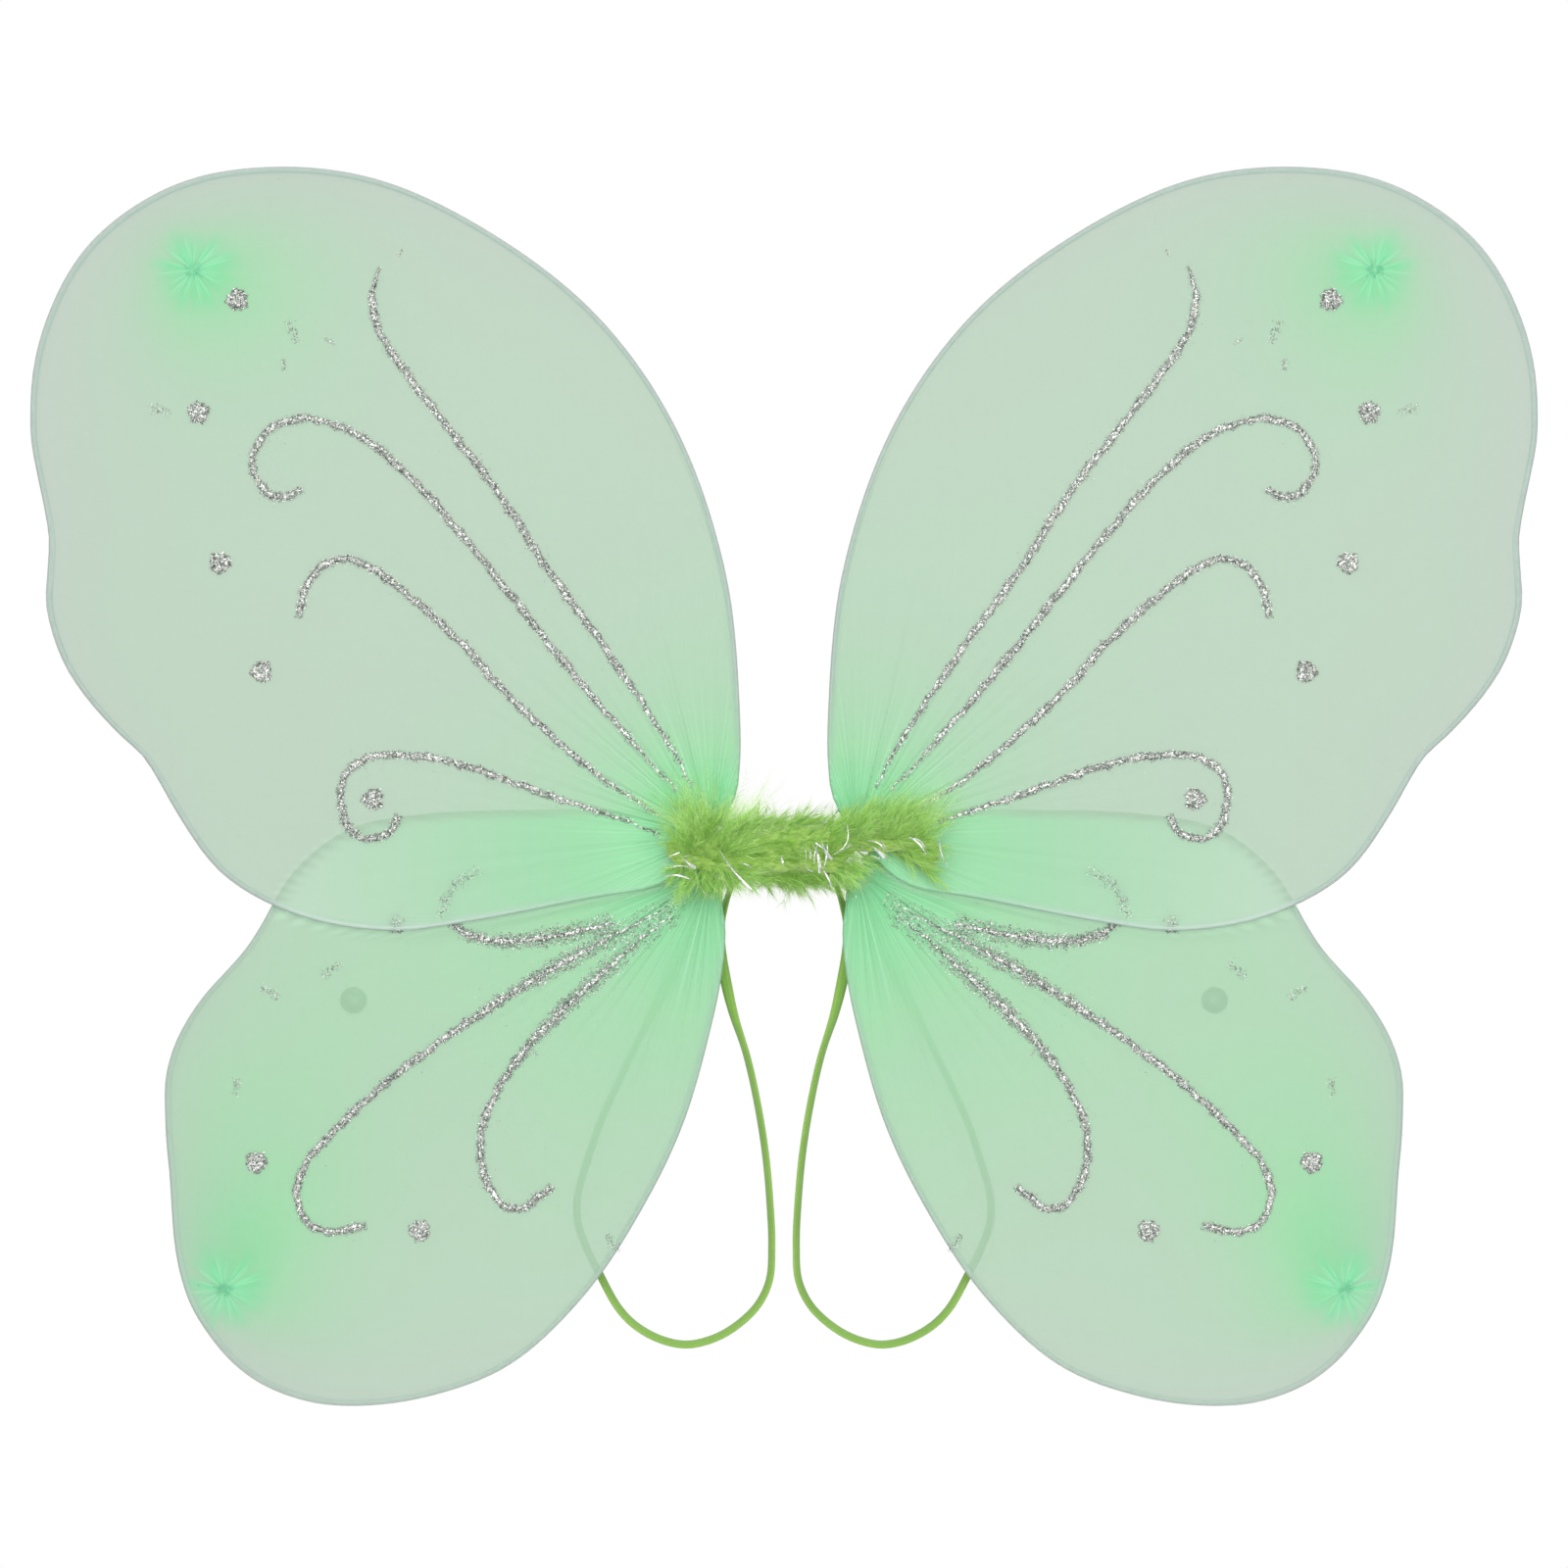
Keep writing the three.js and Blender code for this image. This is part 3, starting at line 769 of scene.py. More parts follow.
def edge_on_turn(line):
    """How far the elastic has turned edge-on: at the knot, flat below it, and again at the bottom."""
    drop = (line[:, 2].max() - line[:, 2]) / np.ptp(line[:, 2])
    at_knot = math.radians(65) * (1 - smoothstep(drop, 0.03, 0.12))
    return at_knot + math.radians(55) * smoothstep(drop, 0.17, 0.36)


def elastic_values(line, sides):
    """The numbers that the elastic's material reads, for a tube of that many sides."""
    across = oval(1, 1, sides)[:, 0] * 0.5 + 0.5
    return {"along": np.repeat(lengths_along(line), sides), "across": np.tile(across, len(line))}


def add_strap(hand, side):
    node = f"strap_{hand}"
    line = curve_through([(side * x, STRAP_Y, z) for x, z in STRAP_ROUTE], 1.6 * MM)
    shape = line * (side, 1, 1)
    sides = 12
    flat = oval(STRAP_WIDTH, STRAP_THICKNESS, sides, 0.75)
    vertices, faces = tube(shape, turned(flat, edge_on_turn(shape)), (0, -1, 0))
    values = elastic_values(shape, sides)
    name = f"shoulder_elastic_{hand}"
    strap = add_mesh(name, vertices, faces, [MATERIALS["elastic"]], side, values=values)
    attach(strap, f"shoulder_loop_{hand}")
    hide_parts(node)


def add_strap_knot(hand, side):
    """An overhand knot, which is a trefoil pulled tight, with the two cut ends above it."""
    node = f"strap_knot_{hand}"
    middle = centre_of(node, side)
    reach = 0.82 * MM
    t = np.linspace(0, 2 * math.pi, 73)
    out = 2 + np.cos(3 * t)
    knot = np.stack([out * np.cos(2 * t), 1.1 * np.sin(3 * t), out * np.sin(2 * t)], axis=1)
    lines = [middle + knot * reach]
    t = np.linspace(0, 1, 9)
    for lean, length in ((-0.5, 8), (0.9, 6.5)):
        up = 2 + length * t * (1 - 0.25 * t)
        end = np.stack([lean * length * t, 1.5 * t * (1 - t) - 0.6, up], axis=1)
        lines.append(middle + end * MM)
    sides = 8
    section = oval(2.5 * MM, 1.7 * MM, sides)
    vertices, faces = joined([tube(line, section, (0.001, 1, 0.002)) for line in lines])
    stored = [elastic_values(line, sides) for line in lines]
    values = {key: np.concatenate([part[key] for part in stored]) for key in stored[0]}
    name = f"elastic_knot_{hand}"
    piece = add_mesh(name, vertices, faces, [MATERIALS["elastic"]], side, values=values)
    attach(piece, f"shoulder_loop_{hand}")
    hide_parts(node)


def around_tape(node, side, turns, lead, steps_per_turn=40):
    """A helix round the X axis that follows a rounded rectangle just inside a CAD band's box."""
    low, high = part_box(node)
    half = np.array((high - low) / 2) - 0.45 * MM
    angle = np.linspace(0, 2 * math.pi * turns, round(turns * steps_per_turn) + 1)
    c, s = directions(angle + math.radians(200)).T
    x = lead * (np.linspace(0, 1, len(angle)) - 0.5)
    y = half[1] * np.sign(c) * abs(c) ** 0.55
    z = half[2] * np.sign(s) * abs(s) ** 0.55
    return centre_of(node, side) + np.stack([x, y, z], axis=1)


def wound(node, side, line, section):
    """A strand along a line round the tape, with its height pointing away from the tape."""
    outward = unit((line - centre_of(node, side)) * (0, 1, 1))
    return tube(line, section, outward)


def add_strap_hitch(hand, side):
    """Two turns of the elastic round the tape."""
    node = f"strap_hitch_{hand}"
    sides = 8
    line = around_tape(node, side, 2, 2.2 * MM)
    vertices, faces = wound(node, side, line, oval(2.2 * MM, 1.1 * MM, sides))
    values = elastic_values(line, sides)
    name = f"elastic_hitch_{hand}"
    piece = add_mesh(name, vertices, faces, [MATERIALS["elastic"]], side, values=values)
    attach(piece, "centre")
    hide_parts(node)


# ---------------------------------------------------------------- sleeves


def rim_line(wing, hand, side):
    """The wire's centre line where the sleeve is spread, from the plate's outline, as (x, z)."""
    outline = front_outline(f"{wing}_sleeve_{hand}", side)
    root = centre_of(f"{wing}_root_tie_{hand}", side)[[0, 2]]
    mouth = abs(np.linalg.norm(outline - root, axis=1) - PLATE_START) < 0.02 * MM
    start = next(i for i in range(len(outline)) if mouth[i - 1] and not mouth[i])
    edge = np.roll(outline, -start, axis=0)
    edge = edge[: len(outline) - int(mouth.sum())]
    if edge[0][0] > edge[-1][0]:
        edge = edge[::-1]
    edge = curve_through(edge, 1.5 * MM)
    tangent = unit(np.gradient(edge, axis=0))
    outward = np.stack([-tangent[:, 1], tangent[:, 0]], axis=1)
    away = ((edge - edge.mean(0)) * outward).sum()
    outward *= np.sign(away)
    return spaced(edge + outward * WIRE_TO_PLATE, 1.5 * MM), root


# Rows of the sleeve's mesh this many mm in from the wire's centre line, along each ray.
NEAR_RIM = (7.0, 5.0, 3.5, 2.4, 1.7, 1.2, 0.8, 0.4, 0.0)


def sleeve_grid(wing, hand, side, columns, rows):
    """Points of a fan from the root tie out to the rim: rows x columns of (x, z)."""
    rim, root = rim_line(wing, hand, side)
    tip = centre_of(f"{wing}_tip_knot_{hand}", side)[[0, 2]]
    along = lengths_along(rim)
    toward = unit(rim - root) @ unit(tip - root)
    at_tip = along[np.argmax(toward)] / along[-1]
    close = 24 * MM / along[-1]
    share = graded(columns, lambda t: 1 + 3.2 * np.exp(-(((t - at_tip) / close) ** 2)))
    edge = at_lengths(rim, share * along[-1])

    mouth = np.linspace((-2.4, 1.6), (1.0, -1.6), columns + 1)
    if wing == "lower":
        mouth[:, 1] *= -1
        mouth = mouth[::-1] if edge[0][1] > edge[-1][1] else mouth
    origin = root + mouth * MM
    reach = np.linalg.norm(edge - origin, axis=1)
    tip_row = np.linalg.norm(tip - root) / reach[np.argmin(abs(share - at_tip))]
    step = graded(
        rows,
        lambda t: 0.55 + 0.16 / (t + 0.03) + 2.6 * np.exp(-(((t - tip_row) / 0.09) ** 2)),
    )
    start, border = 2.0 * MM / reach, 1 - NEAR_RIM[0] * MM / reach
    along_ray = start + (border - start) * step[:, None]
    along_ray = np.vstack([along_ray, 1 - np.array(NEAR_RIM[1:])[:, None] * MM / reach])
    points = origin + (edge - origin) * along_ray[..., None]
    return points, edge, root, tip


# The hosiery's gathers relax to 1/e this far from the root tie and from the tip knot.
ROOT_FADE = {"upper": 30 * MM, "lower": 62 * MM}
# How far the gathering at each tip knot reaches inward, outward, up and down, in mm.
TIP_FADE = {"upper": (26, 12, 11, 21), "lower": (21, 34, 58, 9)}

PLEATS = {"upper": [23, 31, 38, 47, 58], "lower": [19, 27, 36, 44, 55]}
PHASES = [0.3, 1.9, 4.1, 2.6, 5.2]


def inside(points, outline):
    """Which (x, z) points lie in a closed outline."""
    x, z = points[..., 0], points[..., 1]
    hit = np.zeros(x.shape, bool)
    for (ax, az), (bx, bz) in zip(outline, np.roll(outline, -1, axis=0)):
        if az != bz:
            hit ^= ((az > z) != (bz > z)) & (x < ax + (z - az) / (bz - az) * (bx - ax))
    return hit


def to_line(points, line):
    """Each (x, z) point's distance from the nearest point of a line."""
    flat = points.reshape(-1, 2)
    return np.sqrt(((flat[:, None] - line[None]) ** 2).sum(2).min(1)).reshape(points.shape[:-1])


def doubled(points, wing, hand, side):
    """1 where the other wing of this side lies over or under these points, and 0 elsewhere."""
    rim, root = rim_line(WINGS[1 - WINGS.index(wing)], hand, side)
    return inside(points, np.vstack([rim, root])) * smoothstep(to_line(points, rim), 0, 3 * MM)


def beside(points, wing, hand, side):
    """1 on the lower wing along the upper wing's edge, where painted light lifts the shade that the
    upper wing's rim casts on it.
    """
    if wing == "upper":
        return np.zeros(points.shape[:2])
    rim, root = rim_line("upper", hand, side)
    away = to_line(points, rim) * np.where(inside(points, np.vstack([rim, root])), 1.5, 1)
    return 1 - smoothstep(away, 0.8 * MM, 4 * MM)


def tip_fade(points, tip, wing):
    """How far the gathering at the tip knot reaches in each point's direction."""
    inward, outward, up, down = np.array(TIP_FADE[wing]) * MM
    away = unit(points - tip + 1e-9)
    sideways = np.where(away[..., 0] < 0, inward, outward)
    upright = np.where(away[..., 1] > 0, up, down)
    return sideways * away[..., 0] ** 2 + upright * away[..., 1] ** 2


def sleeve_depths(points, rim, root, tip, wing, plane):
    """Where the front and back layers lie at each point, and what the nylon's material reads."""
    from_root = np.linalg.norm(points - root, axis=-1)
    from_tip = np.linalg.norm(points - tip, axis=-1)
    from_rim = to_line(points, rim)
    middle = BIND_Y + (plane - BIND_Y) * smoothstep(from_root, 4 * MM, 11 * MM)

    angle = np.arctan2(points[..., 1] - root[1], points[..., 0] - root[0])
    turn = (angle - angle.min()) / np.ptp(angle)
    fold = waves(turn, PLEATS[wing], PHASES)
    other_fold = waves(turn, PLEATS[wing][::-1], PHASES[::-1])
    pitch = from_root * np.ptp(angle) / np.mean(PLEATS[wing])
    free = 1 - np.exp(-((from_rim / (4 * MM)) ** 2))
    swell = 0.30 * pitch * np.exp(-from_root / (30 * MM)) * free

    tip_angle = np.arctan2(points[..., 1] - tip[1], points[..., 0] - tip[0]) / (2 * math.pi)
    star = waves(tip_angle, [5, 9, 13, 17], PHASES)
    near_tip = np.exp(-((from_tip / (13 * MM)) ** 1.5)) * (1 - np.exp(-((from_tip / (1.5 * MM)) ** 2)))
    swell_tip = 0.32 * MM * near_tip * free

    half = 0.62 * MM + 0.43 * MM * np.exp(-from_rim / (5 * MM))
    half = half + 1.0 * MM * np.exp(-from_root / (8 * MM))
    front = middle - half - swell * fold - swell_tip * star
    back = middle + half + swell * other_fold + swell_tip * star
    back = back + 0.9 * MM * np.exp(-((from_tip / (5 * MM)) ** 2))

    gather = np.exp(-np.maximum(from_root - PLATE_START, 0) / ROOT_FADE[wing])
    gather = gather + np.exp(-np.maximum(from_tip - 6 * MM, 0) / tip_fade(points, tip, wing))
    outer = smoothstep(from_root, 110 * MM, 290 * MM) * np.exp(-from_rim / (28 * MM))
    values = {
        "gather": np.clip(gather, 0, 1),
        "outer": outer,
        "rim": from_rim / MM,
        "from_root": in_space(points - root, 0.0),
        "from_tip": in_space(points - tip, 0.0),
    }
    return front, back, values


def boundary_of(rows, columns):
    """Grid places from the tie along the first side, round the rim, and back along the last."""
    side_a = [(i, 0) for i in range(rows)]
    rim = [(rows - 1, j) for j in range(1, columns)]
    side_b = [(i, columns - 1) for i in range(rows - 2, -1, -1)]
    return side_a + rim + side_b


def sleeve_edge(points):
    """Rows and columns of the grid's edge from one side of the root to the other, and the way out."""
    i, j = np.array(boundary_of(*points.shape[:2])).T
    place = points[i, j]
    heading = unit(np.gradient(place, axis=0))
    outward = np.stack([-heading[:, 1], heading[:, 0]], axis=1)
    outward *= np.sign(((place - points.reshape(-1, 2).mean(0)) * outward).sum())
    return i, j, outward


def sleeve_faces(rows, columns, edge, wrap):
    """The front and back layers, the belt between their edges, and a cap over the mouth."""
    count = rows * columns
    length = len(edge)
    between = [2 * count + k * length + np.arange(length) for k in range(wrap - 1)]
    ladder = np.array([edge, *between, count + edge])
    belt = np.stack([ladder[:-1, :-1], ladder[:-1, 1:], ladder[1:, 1:], ladder[1:, :-1]], axis=-1)
    front = grid_faces(rows, columns)
    back = grid_faces(rows, columns, start=count)[:, ::-1]
    cap = [
        *range(columns),
        *ladder[1:, -1],
        *range(count + columns - 2, count - 1, -1),
        *ladder[1:-1, 0][::-1],
    ]
    return np.vstack([front, back, belt.reshape(-1, 4)]).tolist() + [[int(k) for k in cap]]


def add_sleeve(wing, hand, side, columns=190, rows=74, wrap=6):
    """One sleeve: a front and a back layer that meet round the outside of the wire."""
    node = f"{wing}_sleeve_{hand}"
    points, rim, root, tip = sleeve_grid(wing, hand, side, columns, rows)
    front, back, values = sleeve_depths(points, rim, root, tip, wing, centre_of(node)[1])
    # The nylon reads doubled, where the other wing overlaps, and beside, along the upper wing's rim,
    # for painted light.
    values["doubled"] = doubled(points, wing, hand, side)
    values["beside"] = beside(points, wing, hand, side)
    upper = wing == "upper"
    values["hem"] = np.ones(front.shape) if upper else 0.5 * (1 - values["doubled"])

    i, j, outward = sleeve_edge(points)
    half = (back - front)[i, j] / 2
    middle = (back + front)[i, j] / 2
    angles = [math.pi * (k / wrap - 0.5) for k in range(1, wrap)]
    reaches = [half * math.cos(angle) for angle in angles]
    strips = [
        in_space(points[i, j] + outward * reach[:, None], middle + half * math.sin(angle))
        for angle, reach in zip(angles, reaches)
    ]
    layers = [in_space(points, depth).reshape(-1, 3) for depth in (front, back)]
    rows, columns = front.shape
    count = rows * columns
    edge = i * columns + j
    faces = sleeve_faces(rows, columns, edge, wrap)
    for key, grid in values.items():
        grid = grid.reshape(count, *grid.shape[2:])
        values[key] = np.concatenate([grid, grid, *[grid[edge]] * (wrap - 1)])
    values["rim"][2 * count :] = -np.concatenate(reaches) / MM
    vertices = np.vstack([*layers, *strips])
    name = f"{wing}_nylon_{hand}"
    sleeve = add_mesh(name, vertices, faces, [MATERIALS["nylon"]], side, values=values)
    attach(sleeve, f"{wing}_wing_{hand}")
    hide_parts(node)


# ---------------------------------------------------------------- knots and ties


# A tip knot from the skirt, past the tied neck, to the tuft: its radius in mm, and its height as
# a share of the knot's.
TIP_PROFILE = [
    (6.4, -0.05), (4.6, 0.10), (3.1, 0.22), (2.0, 0.36), (2.9, 0.52), (3.9, 0.74),
    (4.2, 0.92), (3.5, 1.0), (2.2, 0.9), (1.2, 0.78), (0.3, 0.72),
]
NECK = 0.36


def add_tip_knot(wing, hand, side):
    """The sleeve's closed end: a pleated skirt, a tied neck and a ruffled tuft."""
    node = f"{wing}_tip_knot_{hand}"
    low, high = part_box(node)
    middle = centre_of(node, side)[[0, 2]]
    tall = high.y - low.y
    turns = 72
    angle = full_turn(turns)
    ruffle = waves(angle / (2 * math.pi), [7, 11, 17], PHASES)
    flutter = waves(angle / (2 * math.pi), [5, 8], PHASES)
    rings = []
    for radius, height in curve_through(TIP_PROFILE, 0.25):
        loose = smoothstep(height, 0.45, 1.0) * smoothstep(radius, 0.5, 3.0)
        r = radius * (1 + (0.05 + 0.13 * loose) * ruffle) * MM
        y = low.y + tall * (height + 0.05 * loose * flutter)
        rings.append(in_space(middle + r[:, None] * directions(angle), y))
    cloth = np.vstack(rings), tube_faces(len(rings), turns)

    winds = np.linspace(0, 2 * math.pi * 4, 97)
    climb = 0.35 * MM * (winds / (2 * math.pi) - 2)
    line = in_space(middle + 2.2 * MM * directions(winds), low.y + NECK * tall + climb)
    thread = tube(line, oval(0.42 * MM, 0.42 * MM, 6), (0, 1, 0))
    vertices, faces = joined([cloth, thread])
    slots = [0] * len(cloth[1]) + [1] * len(thread[1])
    materials = [MATERIALS["gathered"], MATERIALS["thread"]]
    name = f"{wing}_tip_gather_{hand}"
    piece = add_mesh(name, vertices, faces, materials, side, slots=slots)
    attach(piece, f"{wing}_wing_{hand}")
    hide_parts(node)


def add_root_tie(wing, hand, side):
    """Thread wound round the sleeve's mouth and the wire tails."""
    node = f"{wing}_root_tie_{hand}"
    low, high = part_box(node)
    line = around_tape(node, side, 6, (high.x - low.x) * 0.86, 28)
    vertices, faces = wound(node, side, line, oval(0.55 * MM, 0.55 * MM, 6))
    name = f"{wing}_tie_thread_{hand}"
    piece = add_mesh(name, vertices, faces, [MATERIALS["thread"]], side)
    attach(piece, f"{wing}_wing_{hand}")
    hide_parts(node)


# ---------------------------------------------------------------- glitter

FLAKE = 0.31 * MM  # half a flake's diagonal
FLAKES_PER_AREA = 7.0e6  # flakes a square metre of line
FLAKE_CLEAR = 0.06 * MM  # in front of what the flake lies on
GLUE_HEIGHT = 0.5 * MM


def flakes_at(places, depths, sizes, rng):
    """Thin four-faced flakes lying about flat at (x, z) places, each tilted a little."""
    count = len(places)
    normal = unit(in_space(rng.normal(0, 0.45, (2, count)).T, -1.0))
    flat = in_space(directions(rng.uniform(0, math.pi, count)), 0.0)
    first = unit(flat - normal * (flat * normal).sum(1, keepdims=True)) * sizes[:, None]
    second = np.cross(normal, first) * rng.uniform(0.6, 1.0, (count, 1))
    thick = normal * sizes[:, None] * 0.16
    corners = [first + thick, thick - first, second - thick, -second - thick]
    vertices = in_space(places, depths)[:, None] + np.stack(corners, axis=1)
    start = 4 * np.arange(count)[:, None, None]
    faces = np.array([[0, 2, 1], [0, 1, 3], [0, 3, 2], [1, 2, 3]]) + start
    # Each flake's painted brightness, from the dark of shade to the white of a glint.
    shade = np.repeat(rng.beta(0.9, 0.9, count), 4)
    return vertices.reshape(-1, 3), faces.reshape(-1, 3), shade


def glitter_piece(name, wing, hand, side, glue, flakes, node=None):
    """One object of flakes on glue, or of flakes alone where glue is None."""
    points, polygons, shade = flakes
    parts = [(points, polygons)]
    slots = [0] * len(polygons)
    materials = [MATERIALS["flakes"]]
    smooth = False
    if glue is not None:
        parts.insert(0, glue)
        slots = [0] * len(glue[1]) + [1] * len(polygons)
        materials.insert(0, MATERIALS["glue"])
        smooth = np.array(slots) == 0
        shade = np.concatenate([np.zeros(len(glue[0])), shade])
    vertices, faces = joined(parts)
    piece = add_mesh(name, vertices, faces, materials, side, smooth, slots, {"shade": shade})
    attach(piece, f"{wing}_wing_{hand}")
    if node:
        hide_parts(node)


def middle_line(node, side):
    """The centre line of a swept CAD line, from the outline of its front face."""
    outline = front_outline(node, side)
    gaps = np.linalg.norm(np.roll(outline, -1, axis=0) - outline, axis=1)
    first, second = sorted(np.argsort(gaps)[:2])
    one = outline[first + 1 : second + 1]
    other = np.roll(outline, -(second + 1), axis=0)[: len(outline) - len(one)][::-1]
    return (one + other) / 2, gaps[first]


# Across a bead of glue: how far out each point lies, and its height as a share of the crest's.
BEAD = np.array([(-1.0, 0.05), (-0.72, 0.72), (0.0, 1.0), (0.72, 0.72), (1.0, 0.05)])


def glue_bead(line, along, across, half, solid, back):
    """A low ridge of glue along the line, which thins where solid is below 1."""
    ends = np.clip((np.minimum(along, along[-1] - along) + 0.4 * MM) / (2 * MM), 0, 1)
    width = 0.72 * half * solid * np.sqrt(ends)
    wide = line[:, None] + across[:, None] * (width[:, None] * BEAD[:, 0])[..., None]
    depth = back - GLUE_HEIGHT * BEAD[:, 1] * solid[:, None]
    return in_space(wide, depth).reshape(-1, 3), tube_faces(len(line), len(BEAD))


def add_glitter_line(node, wing, hand, side, seed):
    """A bead of glue along a CAD line, uneven in width, with flakes on and round it."""
    rng = np.random.default_rng(seed)
    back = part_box(node)[1].y + 0.1 * MM
    root = centre_of(f"{wing}_root_tie_{hand}", side)[[0, 2]]
    line, crest = middle_line(node, side)
    if np.linalg.norm(line[0] - root) < np.linalg.norm(line[-1] - root):
        line = line[::-1]
    line = curve_through(line, 1.2 * MM)
    along = lengths_along(line)
    share = along / along[-1]
    from_root = np.linalg.norm(line - root, axis=1)
    tangent = unit(np.gradient(line, axis=0))
    across = np.stack([-tangent[:, 1], tangent[:, 0]], axis=1)
    spread = 2.5 if wing == "lower" else 0.9
    widen = spread + (1.05 - spread) * smoothstep(from_root, 40 * MM, 120 * MM)
    uneven = 1 + 0.16 * waves(share, [7, 13, 29, 41], rng.uniform(0, 6, 4))
    half = 0.70 * crest * uneven
    if "spear" in node:
        half = half * (0.3 + 0.7 * smoothstep(along, 0, 14 * MM))
    wander = 0.12 * crest * waves(share, [9, 17, 31], rng.uniform(0, 6, 3))
    line = line + across * wander[:, None]
    solid = 0.25 + 0.75 * smoothstep(from_root, 22 * MM, 75 * MM)
    glue = glue_bead(line, along, across, half, solid, back)

    weight = half * widen * (0.30 + 0.70 * smoothstep(from_root, 24 * MM, 80 * MM))
    number = int(2 * weight.mean() * along[-1] * FLAKES_PER_AREA)
    chance = np.cumsum(weight) / weight.sum()
    k = np.searchsorted(chance, rng.uniform(0, 1, number)).clip(0, len(line) - 1)
    off = rng.uniform(-0.95, 0.95, number) + rng.normal(0, 0.13, number)
    stray = rng.uniform(0, 1, number) < 0.05
    off = np.where(stray, rng.normal(0, 1.6, number), off)
    places = line[k] + tangent[k] * rng.uniform(-0.6, 0.6, (number, 1)) * MM
    places = places + across[k] * (off * half[k] * widen[k])[:, None]
    lift = GLUE_HEIGHT * solid[k] * np.clip(1 - (off / 1.05) ** 2, 0, 1)
    sizes = FLAKE * rng.uniform(0.45, 1.15, number) * np.where(stray, 0.6, 1.0)
    flakes = flakes_at(places, back - lift - FLAKE_CLEAR, sizes, rng)
    glitter_piece(node.replace("glitter_", "glitter_line_"), wing, hand, side, glue, flakes, node)


def add_glitter_dot(node, wing, hand, side, seed):
    """A blot of glue and flakes with a ragged edge."""
    rng = np.random.default_rng(seed)
    low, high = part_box(node)
    back = high.y + 0.1 * MM
    middle = centre_of(node, side)[[0, 2]]
    radius = (high.x - low.x) / 2
    turns = 40
    angle = full_turn(turns)
    ragged = waves(angle / (2 * math.pi), [3, 5, 8, 11], rng.uniform(0, 6, 4))
    rings = []
    for share, height in ((1.0, 0.05), (0.9, 0.6), (0.6, 0.95), (0.25, 1.0)):
        r = radius * share * (0.88 + 0.10 * ragged * share)
        ring = middle + r[:, None] * directions(angle)
        rings.append(in_space(ring, back - height * GLUE_HEIGHT))
    glue = np.vstack(rings), [face[::-1] for face in tube_faces(len(rings), turns)]
    number = int(math.pi * radius**2 * FLAKES_PER_AREA * 0.95)
    spin = rng.uniform(0, 2 * math.pi, number)
    out = np.sqrt(rng.uniform(0, 1, number))
    limit = np.interp(spin, angle, ragged, period=2 * math.pi)
    places = middle + (radius * out * (0.94 + 0.14 * limit))[:, None] * directions(spin)
    lift = GLUE_HEIGHT * np.clip(1.15 - out**4, 0, 1)
    sizes = FLAKE * rng.uniform(0.6, 1.2, number)
    flakes = flakes_at(places, back - lift - FLAKE_CLEAR, sizes, rng)
    glitter_piece(node.replace("glitter_dot", "glitter_blot"), wing, hand, side, glue, flakes, node)


def add_stray_glitter(wing, hand, side, seed, lone_count=90):
    """Smears that rubbed off, and lone flakes all over the front of a sleeve."""
    rng = np.random.default_rng(seed)
    points, rim, root, tip = sleeve_grid(wing, hand, side, 60, 30)
    plane = centre_of(f"{wing}_sleeve_{hand}")[1]
    places = []
    for centre, length, slope in SMEARS[wing]:
        number = int(length / MM * 11)
        forward = directions(math.radians(slope))
        sideways = np.array([-forward[1], forward[0]])
        along = rng.uniform(-0.5, 0.5, (number, 1)) * length
        off = rng.normal(0, 0.11, (number, 1)) * length
        places.append(np.array(centre) + along * forward + off * sideways)
    smeared = sum(len(smear) for smear in places)
    over_wing = points[4:-1, 2:-2].reshape(-1, 2)
    lone = over_wing[rng.integers(0, len(over_wing), lone_count)]
    lone = lone + rng.uniform(-2, 2, (lone_count, 2)) * MM
    places = np.vstack([*places, lone])
    spans = rng.uniform(0.4, 0.95, smeared), rng.uniform(0.35, 0.65, lone_count)
    front, _, _ = sleeve_depths(places[:, None], rim, root, tip, wing, plane)
    flakes = flakes_at(places, front.ravel() - 0.15 * MM, FLAKE * np.concatenate(spans), rng)
    glitter_piece(f"stray_glitter_{wing}_{hand}", wing, hand, side, None, flakes)


def add_glue_spot(hand, side):
    """A spot of clear glue that dried on the back of a lower sleeve."""
    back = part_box(f"lower_sleeve_{hand}")[1].y + 0.05 * MM
    turns = 36
    rings = []
    for radius, height in ((5.0, 0.0), (4.6, 0.25), (3.0, 0.40), (0.5, 0.42)):
        ring = np.array(GLUE_SPOT) + radius * MM * directions(full_turn(turns))
        rings.append(in_space(ring, back + height * MM))
    faces = tube_faces(len(rings), turns)
    spot = add_mesh(f"glue_spot_{hand}", np.vstack(rings), faces, [MATERIALS["glue_spot"]], side)
    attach(spot, f"lower_wing_{hand}")


def add_glitter(hand, side):
    bodies = frame["record"]["behaviour"]["bodies"]
    for wing in WINGS:
        nodes = sorted(n for n in bodies[f"{wing}_wing_{hand}"] if n.startswith("glitter_"))
        for seed, node in enumerate(nodes):
            add = add_glitter_dot if "_dot_" in node else add_glitter_line
            add(node, wing, hand, side, 100 * len(wing) + seed)
        add_stray_glitter(wing, hand, side, 7)
    add_glue_spot(hand, side)


# ---------------------------------------------------------------- the boa


